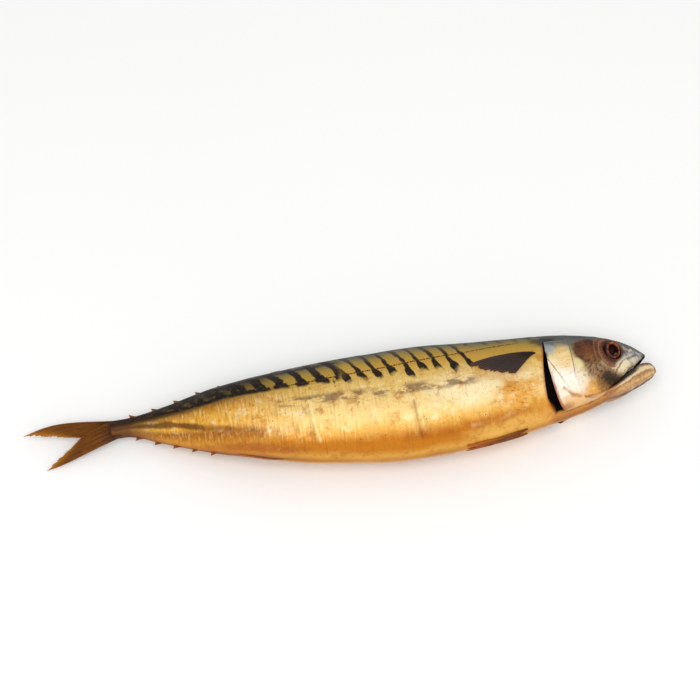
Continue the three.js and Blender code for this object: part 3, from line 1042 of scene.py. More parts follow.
    def flank_marks(self, tree: ShaderTree, base: Signal, behind: Signal, girth: Signal) -> Signal:
        """A row of faint blotches, the lateral line, the keels' dark lines and the stalk's brown."""
        blot = tree.noise(tree.vector(behind / 11.0, girth / 9.0 + 4.0), 1.0, 4.0, 0.65)
        row = (girth + 1.0).size().rise(8.0, 2.0) * behind.band(98, 196, 8) * blot.rise(0.43, 0.58)
        base = base.under("6e4a38", row * 0.75)
        line = (girth - lateral_line(behind)).size()
        dots = tree.noise(tree.vector(behind / 0.9, 0.0), 1.0, 0.0)
        mark = line.rise(1.4, 0.4) * behind.band(70, 196, 8) * (0.25 + dots.rise(0.35, 0.6))
        base = base.under("33240f", mark * 0.85)
        warp = tree.drift(1.6, 0.006, 3.0)
        keel = (((280, -5), (256, -7), 0.14), ((256, -7), (240, -22), 0.19))
        base = base.lines("5c3208", 0.85, keel, (2.0, 0.5), warp)
        base = base.lines("9a5c10", 0.6, [((240, -22), (210, -40), 0.28)], (3.0, 0.5), 2.0 * warp)
        stalk = tree.ramp(girth + tree.drift(14.0, 0.003, 3.0), -90.0, 90.0, tints(
            (-90, "4a2214"), (-62, "7e4426"), (-38, "a87434"), (-20, "b5873c"), (-7, "54300c"),
            (6, "7a5a20"), (22, "33230f"), (90, "1f160d"),
        ))
        base = tree.mix(base, stalk, (behind + tree.drift(6.0, 0.008)).rise(254, 280))
        end = (behind + tree.drift(8.0, 0.004, 4.0, 0.65)).rise(269, 281)
        return tree.mix(base, tree.mix(colour("5e3418"), colour("2c190c"), girth.rise(-10, 30)), end * 0.85)

    def head(self, tree: ShaderTree, base: Signal, behind: Signal, girth: Signal) -> Signal:
        """The head: cream cheeks, a grey crown and snout."""
        place = tree.place()
        drift = girth + tree.drift(18.0, 0.007, 4.0, 0.6)
        cheek = tree.ramp(drift, -90.0, 90.0, tints(
            (-90, "9a5c20"), (-78, "c47e2a"), (-67, "cf9448"), (-52, "e3b26a"), (-36, "ecc98c"),
            (-18, "ead8b4"), (0, "d4c38c"), (14, "a1905e"), (28, "6f6c58"), (50, "4e5050"),
            (90, "3c3e40"),
        ))
        snout = tree.ramp(drift, -90.0, 90.0, tints(
            (-90, "5a3a22"), (-60, "9a7c56"), (-35, "bdb094"), (-8, "b4b0a6"), (18, "8e8f8c"),
            (50, "5e6062"), (90, "48494a"),
        ))
        skull = tree.mix(snout, cheek, (behind + tree.drift(4.0, 0.004)).rise(10, 20))
        skull = skull.patch("e2a044", 0.85, (31, -44), (9, 17), (1.2, 0.4), (1.0, 0.005, 3.0))
        skull = skull.patch("ead29c", 0.7, (39, -16), (6, 22), (1.2, 0.4), (1.0, 0.004, 3.0))
        skull = skull.patch("efe4d4", 0.8, (42, -34), (8, 22), (1.2, 0.4), (1.0, 0.005, 4.0, 0.6))
        skull = skull.patch("4c4a48", 0.7, (11, 22), (4.5, 20), (1.1, 0.5), (1.2, 0.003, 4.0, 0.7))
        wash = tree.noise(place, 0.0016, 4.0, 0.7)
        skull = skull.under("8a6540", wash.rise(0.54, 0.74) * 0.6)
        skull = skull.under("f7efe0", wash.rise(0.44, 0.28) * 0.5 * girth.band(-62, 16, 8))
        flesh = tree.noise(place, 0.0042, 5.0, 0.7)
        skull = skull.under("6a6462", flesh.rise(0.5, 0.62) * behind.rise(17, 9) * 0.75)
        skull = skull.under("e6d2b4", flesh.rise(0.48, 0.36) * behind.rise(17, 9) * 0.7)
        under_cheek = (((41.0, -55), (31.0, -62), 0.28), ((31.0, -62), (23.0, -58), 0.28))
        skull = skull.lines("a4602a", 0.8, under_cheek, (1.2, 0.2), 3.6 * (flesh - 0.5))
        skull = skull.patch("dcb48c", 0.7, (35, -66), (12, 7), (1.2, 0.3), (0.8, 0.004, 3.0))
        share = (behind + tree.drift(5.0, 0.006)).rise(self.head_end + 1.5, self.head_end - 3)
        return tree.mix(base, skull, share)

    def face(self, tree: ShaderTree, base: Signal, behind: Signal, girth: Signal) -> Signal:
        """The cream maxilla, the brown lip and tip of the snout, and its grey creases."""
        maxilla = tree.stroke(MAXILLA[0], MAXILLA[2], 0.2) + tree.drift(0.8, 0.002, 3.0)
        base = base.under("ead6b0", maxilla.rise(2.8, 1.8) * 0.8)
        base = base.under("3c2c22", (maxilla - 2.9).size().rise(0.8, 0.1) * 0.6 * behind.rise(10, 16))
        creases = (((3.0, 30), (10.5, 40), 0.12), ((5.5, 2), (11, -12), 0.14))
        base = base.lines("3f3c3a", 0.7, creases, (0.9, 0.1), tree.drift(0.8, 0.0015, 3.0))
        tip = (behind + tree.drift(2.2, 0.002)).rise(3.0, 0.4)
        return base.under("4a3026", tip * 0.9)

    def lid_and_scorch(self, tree: ShaderTree, base: Signal, behind: Signal, girth: Signal) -> Signal:
        """The brown lid round the eye, the speckled patch below it and the dark nape."""
        lid = tree.oval((30.0, 17.0), (10.5, 25.0)) + tree.drift(0.35, 0.004, 3.0)
        around = tree.oval(EYE, (8.4, 37.0))
        singed = tree.noise(tree.place(), 0.0045, 5.0, 0.7).rise(0.36, 0.62)
        brown = tree.mix(colour("6e3618"), colour("3a1a0a"), singed)
        fine = tree.noise(tree.vector(behind / 3.0, girth / 5.0), 0.5, 4.0, 0.7)
        brown = brown.under("a26240", behind.rise(29, 23) * fine.rise(0.4, 0.65) * 0.8)
        round_eye = around.rise(1.06, 0.94) * (behind + 0.1 * girth).rise(14, 18)
        base = tree.mix(base, brown, lid.rise(1.12, 0.9).most(round_eye) * 0.96)
        base = base.under("3a1d10", around.rise(0.86, 0.66) * 0.85)
        warped = around + tree.drift(0.1, 0.003, 2.0)
        arcs = (warped - 0.92).size().rise(0.06, 0.0).most((warped - 1.22).size().rise(0.07, 0.0) * 0.6)
        base = base.under("b07a5e", arcs * behind.rise(18, 23) * 0.6)
        scorch = tree.stroke((31.5, -14), (19.5, -52), 0.22) + tree.drift(6.0, 0.005, 3.0)
        soot = tree.noise(tree.vector(behind + 0.12 * girth, girth * 0.3), 1.6, 5.0, 0.75)
        base = base.under("80552c", scorch.rise(7.0, 2.6) * 0.85)
        base = base.under("20140e", scorch.rise(7.5, 0.2) * soot.rise(0.47, 0.6) * 0.92)
        base = base.under("c89a62", scorch.rise(7.5, 3.0) * soot.rise(0.42, 0.32) * 0.6)
        corner = tree.stroke((24.5, -36), (19.0, -54), 0.22)
        corner = corner.least(tree.stroke((10.5, -49), (15.0, -55), 0.22) + 0.6) + 22.0 * (soot - 0.5)
        base = base.under("140c09", corner.rise(3.0, 1.6) * 0.9)
        keel, notch = [((54, -74), (24, -71), 0.25)], [((20.5, -58), (23.5, -66), 0.22)]
        base = base.lines("6a3c18", 0.6, keel, (1.0, 0.1), tree.drift(3.4, 0.005, 3.0))
        base = base.lines("1f1511", 0.85, notch, (1.6, 0.4), 0.8 * (soot - 0.5))
        return base.patch("262624", 0.8, (55, 40), (9, 14), (1.1, 0.4), (0.8, 0.003, 3.0))

    def details(self, tree: ShaderTree, base: Signal, behind: Signal, girth: Signal) -> Signal:
        """Pepper specks, scorched edges of slit and lip, and smears round the breast."""
        chosen = tree.noise(tree.place(), 0.0031, 0.0).rise(0.56, 0.62)
        base = base.under("4a2a0c", tree.cells(0.0030).rise(0.16, 0.08) * chosen * 0.75)
        base = base.under("9a4608", tree.measure("slit_edge") * 0.8)
        base = base.under("3a241a", tree.measure("lip") * 0.85)
        base = base.patch("c4862a", 0.5, (80, 4), (19, 15), (1.1, 0.5), (0.6, 0.004, 3.0))
        bend = tree.drift(9.0, 0.012, 3.0)
        swirl = tree.vector((behind + 0.4 * girth + bend) / 14.0, (0.5 * girth - 0.35 * behind + bend) / 4.0)
        hairs = tree.noise(swirl, 0.35, 5.0, 0.7)
        breast = tree.oval((74, -30), (15, 26)).rise(1.15, 0.6)
        return base.under("6e4206", hairs.rise(0.55, 0.66) * breast * 0.7)


def blend_signal(first: float, second: float, share: Signal) -> Signal:
    """A value that a signal moves from first to second."""
    return first + share * (second - first)


def phase_gaps(phase: Signal, tailward: Signal) -> Signal:
    """1 along the dark lower edge, broken between bars where the back is still light."""
    return (phase.wave() + 0.75 + tailward * 1.5).rise(0.0, 0.6)


def lateral_line(behind: Signal) -> Signal:
    """The girth of the lateral line, which climbs towards the head."""
    ahead = 166.0 - behind
    return 24.0 + ahead * 0.12 + ahead * ahead * 0.0009


@dataclass(frozen=True)
class GillBone:
    """Pearly bone, blue at the nape, gold at the cheek and scorched at its free edge."""

    name: str = "gill_bone"
    roughness: float = 0.32

    def material(self) -> bpy.types.Material:
        """Builds the material."""
        tree = ShaderTree(self.name)
        place = tree.place()
        behind, girth, reach_back = tree.measure("behind"), tree.measure("girth"), tree.measure("reach")
        mottle = tree.noise(place, 0.006, 4.0, 0.65)
        base = tree.ramp(girth + 14.0 * (mottle - 0.5), -76.0, 42.0, tints(
            (-76, "c08448"), (-67, "dcaa6c"), (-58, "efcfa0"), (-46, "f9e8cc"), (-20, "fff4e6"),
            (0, "fae8c0"), (12, "e2cb88"), (22, "9a9a82"), (32, "5d6668"), (42, "353738"),
        ))
        base = base.patch("ecc478", 0.75, (46, 8), (6, 24), (1.2, 0.4), (1.2, 0.005, 3.0))
        gold = tree.oval((44, -56), (8, 14)) + 1.4 * (mottle - 0.5)
        base = base.under("e8b468", gold.rise(1.2, 0.4) * 0.7)
        base = base.patch("a6b0b2", 0.7, (54, 22), (5, 12), (1.15, 0.5), (0.8, 0.003, 3.0))
        base = base.patch("3f444a", 0.85, (56.5, 13), (2.6, 8), (1.2, 0.5), (0.6, 0.002, 3.0))
        rays = tree.noise(tree.vector(girth / 5.0 + behind / 9.0, behind / 14.0), 1.0, 4.0, 0.6)
        base = base.under("c89a6a", rays.rise(0.54, 0.72) * 0.3)
        base = base.under("fffaf2", rays.rise(0.46, 0.3) * 0.3)
        suture = (((56.4, 12), (50.4, -14), 0.32), ((50.4, -14), (44.8, -42), 0.32))
        base = base.lines("7a4a28", girth.rise(-44, 6) * 0.8, suture, (0.6, 0.1), tree.drift(0.9, 0.004, 2.0))
        fold = (((49.0, -34), (45.0, -46), 0.3), ((45.0, -46), (40.5, -53), 0.3))
        base = base.lines("b06c34", 0.7, fold, (1.3, 0.0), 3.6 * (mottle - 0.5))
        nape = (girth + 16.0 * (mottle - 0.5)).rise(17, 37)
        base = base.under("4b4e4b", nape * 0.6)
        # A dark line along the front edge, where the cover laps over the cheek: partly the bone's own dark
        # edge, partly painted shade of the seam.
        seam_line_and_shade = tree.mix(colour("8a4c1c"), colour("2c221c"), girth.rise(-44, -30))
        base = tree.mix(base, seam_line_and_shade, tree.measure("front_edge") * (0.2 + 0.7 * girth.rise(-36, -18)))
        scorch = (reach_back + tree.drift(0.14, 0.003, 4.0, 0.65)).rise(0.86, 0.97)
        base = base.under("a04a0e", scorch * girth.rise(4, -34) * 0.9)
        base = base.patch("a65c24", 0.75, (50, -64), (6, 10), (1.15, 0.4), (0.8, 0.003, 3.0))
        # The plate's underside is painted near black: painted shade inside the gill chamber.
        base = base.under("100a07", tree.measure("underside"))
        grit = tree.noise(place, 0.0007, 3.0, 0.6)
        base = base.under("7a5636", tree.noise(place, 0.0014, 4.0, 0.7).rise(0.56, 0.72) * 0.55)
        specks = tree.cells(0.0026).rise(0.13, 0.06) * tree.noise(place, 0.003, 0.0).rise(0.56, 0.62)
        base = base.under("5a361a", specks * 0.7)
        return tree.dress(
            Base_Color=base,
            Roughness=self.roughness + 0.2 * mottle,
            Metallic=0.05,
            Coat_Weight=0.15 + 0.1 * mottle,
            Coat_Roughness=0.25,
            Specular_IOR_Level=0.35,
            Normal=tree.bump(rays * 0.3 + grit * 0.7, 0.00025, 0.7),
        )


@dataclass(frozen=True)
class JawSkin:
    """Tan skin over the lower jaw, banded along its length, with dark lips."""

    name: str = "jaw_skin"
    roughness: float = 0.36

    def material(self) -> bpy.types.Material:
        """Builds the material."""
        tree = ShaderTree(self.name)
        place = tree.place()
        reach_out, side, inner = tree.measure("reach"), tree.measure("round"), tree.measure("inner")
        warp = side + tree.drift(0.22, 0.005, 4.0, 0.6)
        base = tree.ramp(warp, 0.0, 1.0, tints(
            (0.0, "3a2c26"), (0.05, "8d7656"), (0.11, "d2bd94"), (0.2, "dcc496"), (0.28, "9a6a38"),
            (0.38, "c4935a"), (0.54, "d2a870"), (0.68, "b08048"), (0.8, "b88a54"), (0.9, "5e3c26"),
            (1.0, "2c1c18"),
        ))
        streak = tree.noise(tree.vector(side * 9.0, reach_out * 1.6), 1.0, 3.0, 0.6)
        base = base.under("a5652a", streak.rise(0.5, 0.7) * 0.55)
        base = base.under("f3e2bd", streak.rise(0.46, 0.3) * 0.5)
        blots = tree.noise(place, 0.0024, 5.0, 0.7)
        base = base.under("8a5a30", blots.rise(0.52, 0.66) * 0.55)
        base = base.under("f0dcb4", blots.rise(0.46, 0.34) * 0.45)
        tip = (reach_out + tree.drift(0.06, 0.003)).rise(0.93, 1.0)
        base = base.under("58372a", tip * 0.85)
        mouth_line = (side + tree.drift(0.16, 0.002, 4.0, 0.7)).rise(0.2, 0.06)
        base = base.under("150c09", mouth_line * reach_out.band(0.22, 0.52, 0.1) * 0.95)
        root = (reach_out + 0.1 * (streak - 0.5)).rise(0.32, 0.12)
        base = base.under("9c6026", root * 0.85)
        # The trough of the mouth's floor is painted near black: painted shade inside the mouth.
        base = base.under("1c100b", inner * (0.75 + tree.drift(0.4, 0.002)))
        grit = tree.noise(place, 0.0008, 3.0, 0.6)
        return tree.dress(
            Base_Color=base,
            Roughness=self.roughness + 0.15 * streak,
            Coat_Weight=0.2,
            Coat_Roughness=0.25,
            Specular_IOR_Level=0.35,
            Normal=tree.bump(streak * 0.6 + grit * 0.4, 0.0003, 0.7),
        )


@dataclass(frozen=True)
class CookedEye:
    """A shrunken eye: a black sunken pupil in a scorched orange ring."""

    name: str = "cooked_eye"

    def material(self) -> bpy.types.Material:
        """Builds the material."""
        tree = ShaderTree(self.name)
        place = tree.place()
        rim, turn = tree.measure("rim"), tree.measure("turn")
        wobble = rim + tree.drift(0.12, 0.0016, 3.0)
        base = tree.ramp(wobble, 0.0, 1.0, tints(
            (0.0, "030202"), (0.5, "060303"), (0.58, "2a1006"), (0.66, "7c3404"), (0.75, "a85606"),
            (0.84, "6e2e08"), (0.92, "36140a"), (1.0, "24100a"),
        ))
        fibres = tree.noise(tree.vector(turn * 14.0, rim * 1.5), 1.0, 3.0, 0.6)
        base = base.under("d9822a", fibres.rise(0.54, 0.7) * rim.band(0.62, 0.84, 0.06) * 0.8)
        base = base.under("2a0e06", fibres.rise(0.46, 0.3) * rim.band(0.58, 0.95, 0.06) * 0.8)
        patches = tree.noise(place, 0.0022, 3.0, 0.6)
        base = base.under("30120a", patches.rise(0.47, 0.58) * 0.85)
        base = base.under("d08a3a", patches.rise(0.42, 0.3) * rim.band(0.68, 0.84, 0.06) * 0.6)
        lens = tree.measure("lens") + tree.drift(0.2, 0.0012, 3.0)
        base = base.under("94806a", lens.rise(0.5, 0.85) * 0.85)
        return tree.dress(
            Base_Color=base,
            Roughness=0.24 + 0.25 * fibres,
            Coat_Weight=0.06,
            Coat_Roughness=0.15,
            Specular_IOR_Level=0.18,
            Normal=tree.bump(fibres * rim, 0.0004, 0.8),
        )


@dataclass(frozen=True)
class FinFinish:
    """A dried fin: rays in a thin web, paler or scorched towards its margin."""

    name: str
    web: str
    ray: str
    margin: str
    spot: str
    root: str
    margin_start: float = 0.72
    roughness: float = 0.5

    def material(self) -> bpy.types.Material:
        """Builds the material."""
        tree = ShaderTree(self.name)
        place = tree.place()
        ray, out = tree.measure("ray"), tree.measure("out")
        crest = (ray + 0.25 + tree.drift(0.18, 0.004, 2.0)).wave() * 0.5 + 0.5
        threads = tree.noise(tree.vector(ray * 3.0, out * 2.2), 1.0, 3.0, 0.65)
        patches = tree.noise(place, 0.006, 3.0, 0.6)
        base = tree.mix(colour(self.web), colour(self.ray), crest.rise(0.45, 0.95) * 0.85)
        base = tree.mix(base, colour(self.spot), patches.rise(0.52, 0.72) * 0.45)
        margin = (out + 0.30 * (threads - 0.5)).rise(self.margin_start, 1.02)
        base = tree.mix(base, colour(self.margin), margin * 0.85)
        grown = (out + 0.2 * (patches - 0.5)).rise(0.34, 0.04)
        base = tree.mix(base, colour(self.root), grown * 0.8)
        base = base.under("170d07", threads.rise(0.5, 0.34) * 0.7)
        return tree.dress(
            Base_Color=base,
            Roughness=self.roughness + 0.2 * threads,
            Coat_Weight=0.08 + 0.08 * patches,
            Coat_Roughness=0.3,
            Specular_IOR_Level=0.25,
            Normal=tree.bump(crest * 0.5 + threads * 0.5, 0.0003, 0.8),
        )


DARK_FIN = FinFinish(
    "dark_fin", web="2a1e19", ray="4e3c33", margin="5e2c12", spot="3a1c10", root="30241e", margin_start=0.88
)
BROWN_FIN = FinFinish(
    "brown_fin", web="6a3806", ray="a4661a", margin="c47c12", spot="9c5a0a", root="46260e", margin_start=0.74
)
FINLET = FinFinish(
    "finlet", web="7a3c0c", ray="a8641a", margin="d0841e", spot="c47a1c", root="5a2c10", margin_start=0.5
)
BELLY_FIN = FinFinish(
    "belly_fin", web="6e3610", ray="a05c1c", margin="c8640e", spot="2e1c12", root="8a4614", margin_start=0.6
)


# ---------------------------------------------------------------- head and trunk


@dataclass
class Trunk:
    """Head and trunk in one skin, with its hollows, folds and wrinkles."""

    skin: Skin
    gill: GillOpening
    mouth: Mouth
    finish: SmokedSkin
    rings: int = 430
    columns: int = 220
    warp: tuple[float, float, float, float] = (0.10, 0.186, 0.201, 0.27)
    own_columns: tuple[float, ...] = (-71, -70.6, -70, 38, 142, 250, 250.6, 251)  # at the slits' ends
    socket: float = 4.9  # millimetres, the eye socket's radius
    socket_depth: float = 3.4
    broad_dents: float = 0.32  # millimetres, as the four that follow
    small_dents: float = 0.12
    head_dents: float = 0.13
    furrow: float = 0.8
    hub: float = 1.5  # how far the skin's end reaches into the tail fin

    def stations(self) -> Array:
        """The rings' stations before they are led along the slit, closest at the snout."""
        even = np.linspace(0.0, 1.0, self.rings) ** 1.3
        _, _, slit, _ = self.warp
        return np.unique(np.concatenate([even, [slit, slit - self.gill.wall]]))

    def led(self, even: Array, girth: Array) -> Array:
        """Leads rings along the gill cover's edge and the slit's.

        Args:
            even: Stations before, one for each ring.
            girth: Folded girth, one for each column.

        Returns:
            Stations after, rings by columns.
        """
        across = self.gill.across(girth)
        start, cover, slit, end = self.warp
        cover_to = self.gill.rear(across)
        slit_to = np.maximum(self.gill.slit(across, self.skin), cover_to + 0.004)
        rows = [
            np.interp(even, [0, start, cover, slit, end, 1], [0, start, c, s, end, 1])
            for c, s in zip(cover_to, slit_to)
        ]
        return np.stack(rows, axis=1)

    def chamber(self, even: Array, station: Array, girth: Array) -> Array:
        """The depth of the hollow under a gill cover, in millimetres."""
        across = self.gill.across(girth)
        front, rear = self.gill.front(across), self.gill.rear(across)
        held = smooth(self.gill.low, self.gill.low + 1.2, girth)
        held = held * smooth(self.gill.high, self.gill.high - 2.5, girth)
        deeper = smooth(0.4, 0.75, (station - front) / (rear - front))
        depth = self.gill.bed + (self.gill.chamber - self.gill.bed) * deeper
        started = smooth(0.004, 0.009, station - front)
        before_wall = (even < self.warp[2] - self.gill.wall / 2)[:, None]
        return depth * started * before_wall * held

    def draft(self) -> Draft:
        """Builds the whole mesh."""
        even = self.stations()
        angles = np.linspace(-90, 270, self.columns + 1)[:-1]
        angles = np.unique(np.concatenate([angles, self.own_columns]))
        girth = np.where(angles <= 90, angles, 180 - angles)[None, :]
        side = np.where((angles > -90) & (angles < 90), 1, -1)[None, :]
        station = self.led(even, girth[0])
        behind = self.skin.millimetres(station)
        girth, angle, side = (np.broadcast_to(a, station.shape) for a in (girth, angles[None, :], side))
        ground = Ground(behind, girth, self.skin.per_degree(station), side)
        creases = sum(mark.lift(ground) for mark in FOLDS)
        creases = creases + sum(mark.lift(ground) for mark in WRINKLES)
        relief = creases + self.dents(ground)
        hollow = self.chamber(even, station, girth)
        eye = self.eye_socket(station, angle)
        dug = hollow + eye
        lift = (relief * (1 - smooth(0, 1.5, dug)) - dug) * MM
        points = self.skin.place(station, angle, lift)
        points, palate, lip = self.open_mouth(points, station)
        points[..., 2] = np.maximum(points[..., 2], 0.0)
        slit_gap = self.skin.millimetres(station - self.gill.slit(self.gill.across(girth), self.skin))
        beside_slit = smooth(self.gill.low - 3, self.gill.low, girth)
        beside_slit = beside_slit * smooth(self.gill.high, self.gill.high - 6, girth)
        measures = {
            "behind": behind,
            "girth": girth,
            "relief": creases,
            "hollow": np.maximum(np.maximum(smooth(0.1, 0.8, hollow), smooth(1.6, 3.0, eye)), palate),
            "slit_edge": np.exp(-((slit_gap / 0.9) ** 2)) * beside_slit,
            "lip": lip,
        }
        return self.closed(points, measures)

    def dents(self, ground: Ground) -> Array:
        """The broad dents of the flesh, and the furrow that the first dorsal fin folds into."""
        broad, small = Grain(5), Grain(6)
        behind, girth = ground.behind, ground.girth
        body = smooth(50, 80, behind)
        height = body * self.broad_dents * broad.at(behind / 24 + 3 * ground.side, girth / 26)
        height = height + body * self.small_dents * small.at(behind / 7 + 5 * ground.side, girth / 15)
        height = height + self.head_dents * (1 - body) * small.at(behind / 3.2, girth / 14)
        furrow = smooth(1.5, 0.4, (90 - girth) * ground.per_degree)
        return height - self.furrow * furrow * smooth(100, 104, behind) * smooth(152, 148, behind)

    def eye_socket(self, station: Array, angle: Array) -> Array:
        """The depth of the eye sockets, in millimetres."""
        smooth_skin = self.skin.place(station, angle)
        depth = np.zeros(station.shape)
        for flank in (Flank.RIGHT, Flank.LEFT):
            away = np.linalg.norm(smooth_skin - np.array(self.skin.spot(EYE, flank)), axis=-1) / MM
            depth += self.socket_depth * smooth(self.socket + 0.6, self.socket - 0.7, away)
        return depth

    def open_mouth(self, points: Array, station: Array) -> tuple[Array, Array, Array]:
        """Raises what is below the upper jaw's edge into an arched palate.

        Args:
            points: The skin's points.
            station: Their stations.

        Returns:
            The points, how far each is on the palate, and how near to the lip.
        """
        knots, shares = np.array(self.mouth.edge).T
        edge = self.skin.level(through(knots, shares, station))
        edge = edge - (station > knots[-1]) * 1.0
        high = np.clip((edge - self.skin.axis_level(station)) / self.skin.half_depth(station), -1, 1)
        brim = self.skin.half_width(station) * np.sqrt(1 - high**2) + 1e-5
        inward = np.clip(np.abs(points[..., 2] - self.skin.mid_height(station)) / brim, 0, 1)
        room = self.skin.level(through(self.skin.knots, self.skin.back, station)) - edge
        arch = np.minimum(self.mouth.arch, 0.45 * room) * smooth(0.95, 0.45, inward)
        palate = edge + np.maximum(arch, 0)
        raised = palate - points[..., 1]
        points = points.copy()
        points[..., 1] = greater(points[..., 1], palate, self.mouth.lip)
        on_palate = smooth(-0.2 * MM, 0.9 * MM, raised)
        near = np.exp(-(((points[..., 1] - edge) / (0.8 * MM)) ** 2)) * (station < knots[-2])
        return points, on_palate, near

    def closed(self, points: Array, measures: dict[str, Array]) -> Draft:
        """Caps both ends and lays the skin out on a flat map for baking."""
        rows, columns = points.shape[:2]
        i, j = np.meshgrid(np.arange(rows - 1), np.arange(columns), indexing="ij")
        corner = np.stack([i.ravel() / (rows - 1), j.ravel() / columns], axis=-1)
        du, dv = np.array([1.0 / (rows - 1), 0.0]), np.array([0.0, 1.0 / columns])
        corners = np.stack([corner, corner + dv, corner + du + dv, corner + du], axis=1)
        first_map = np.array([[0.5 / rows, k / columns] for k in range(columns) for _ in range(3)])
        last_map = first_map + [1 - 1.0 / rows, 0]
        tail_hub = points[-1].mean(axis=0) - np.array([self.hub * MM, 0, 0])
        draft = capped(points, [points[0].mean(axis=0), tail_hub], measures)
        draft.sheet_map = np.concatenate([corners.reshape(-1, 2), first_map, last_map])
        return draft

    def build(self) -> bpy.types.Object:
        """Makes the dressed piece."""
        return self.draft().piece("body_skin", "smoked_skin", self.finish.material(), ["body"])


# ---------------------------------------------------------------- gill covers


@dataclass
class GillCover:
    """A thin bony plate over the gills, hinged at the cheek and free at the slit."""

    skin: Skin
    gill: GillOpening
    material: bpy.types.Material
    rows: int = 80
    columns: int = 130
    thickness: float = 1.1  # millimetres
    overlap: float = 0.0022  # share of the length that it laps over the cheek
    flare: float = 0.9  # millimetres that the free edge stands out
    tear: float = 0.35  # millimetres that the free edge wanders
    stand: float = 0.12  # millimetres that the plate stands above the skin
    rest: float = 0.03  # the same at its rim
    per_degree: float = 0.32  # millimetres to a degree of girth

    def piece(self, flank: Flank) -> bpy.types.Object:
        """Builds the cover of one flank."""
        u = np.linspace(0, 1, self.rows)[:, None]
        v = np.linspace(0, 1, self.columns)[None, :]
        across = v + 0 * u
        girth = blend(self.gill.low - 1.2, self.gill.high + 1.5, v) + 0 * u
        front = self.gill.front(across) - self.overlap
        ragged = Grain(21 + flank.value)
        rear = self.gill.rear(across) + self.skin.share(self.tear) * ragged.at(across * 22, 0.5)
        station = blend(front, rear, u)
        behind = self.skin.millimetres(station)
        rim = self.rim(u, v)
        lift = (self.stand + self.waves(u, v, behind, girth)) * rim + self.rest
        angle = girth if flank is Flank.RIGHT else 180 - girth
        top = self.skin.place(station, angle, lift * MM)
        thin = self.thickness * (0.25 + 0.75 * np.minimum(rim, smooth(1.0, 0.8, u) * 0.7 + 0.3))
        bottom = self.skin.place(station, angle, (lift - thin) * MM)
        for sheet in (top, bottom):
            sheet[..., 2] = np.maximum(sheet[..., 2], 0.0)
        # Nearness to the front edge, where the cover laps over the cheek; the bone finish paints a dark line
        # here, partly painted shade of the seam.
        line = 0.5 + 0.9 * smooth(-34, -50, girth)
        front_edge = np.exp(-(((behind - self.skin.millimetres(front)) / line) ** 2))
        front_edge = front_edge * (0.45 + 0.55 * smooth(0.25, 0.45, v) * smooth(0.95, 0.8, v))
        measures = {"behind": behind, "girth": girth, "reach": u + 0 * v, "front_edge": front_edge}
        name = f"gill_cover_{flank.name.lower()}"
        draft = outward(slab(top, bottom, measures))
        return draft.piece(f"{name}_bone", "gill_cover", self.material, [name])

    @staticmethod
    def rim(u: Array, v: Array) -> Array:
        """1 over the plate, falling to 0 where it meets the cheek, nape and throat."""
        return smooth(0, 0.07, u) * smooth(0, 0.04, v) * smooth(1, 0.965, v)

    def waves(self, u: Array, v: Array, behind: Array, girth: Array) -> Array:
        """The plate's relief in millimetres: a raised front, a suture and a flared edge."""
        ground = Ground(behind, girth, self.per_degree)
        suture = Fold(((55.8, 9), (44.6, -40)), height=-0.22, width=0.45).lift(ground)
        ridge = Fold(((45.0, 10), (46.5, -20), (43.5, -46)), height=0.3, width=1.3).lift(ground)
        bones = 0.04 * Grain(31).at(girth / 5, behind / 22) + 0.12 * Grain(32).at(behind / 5, girth / 16)
        flare = self.flare * smooth(0.72, 1.0, u) * smooth(1.0, 0.55, v) * smooth(0, 0.08, v)
        step = 0.25 * smooth(0.0, 0.12, u)
        return suture + ridge + bones + flare + step


# ---------------------------------------------------------------- eyes


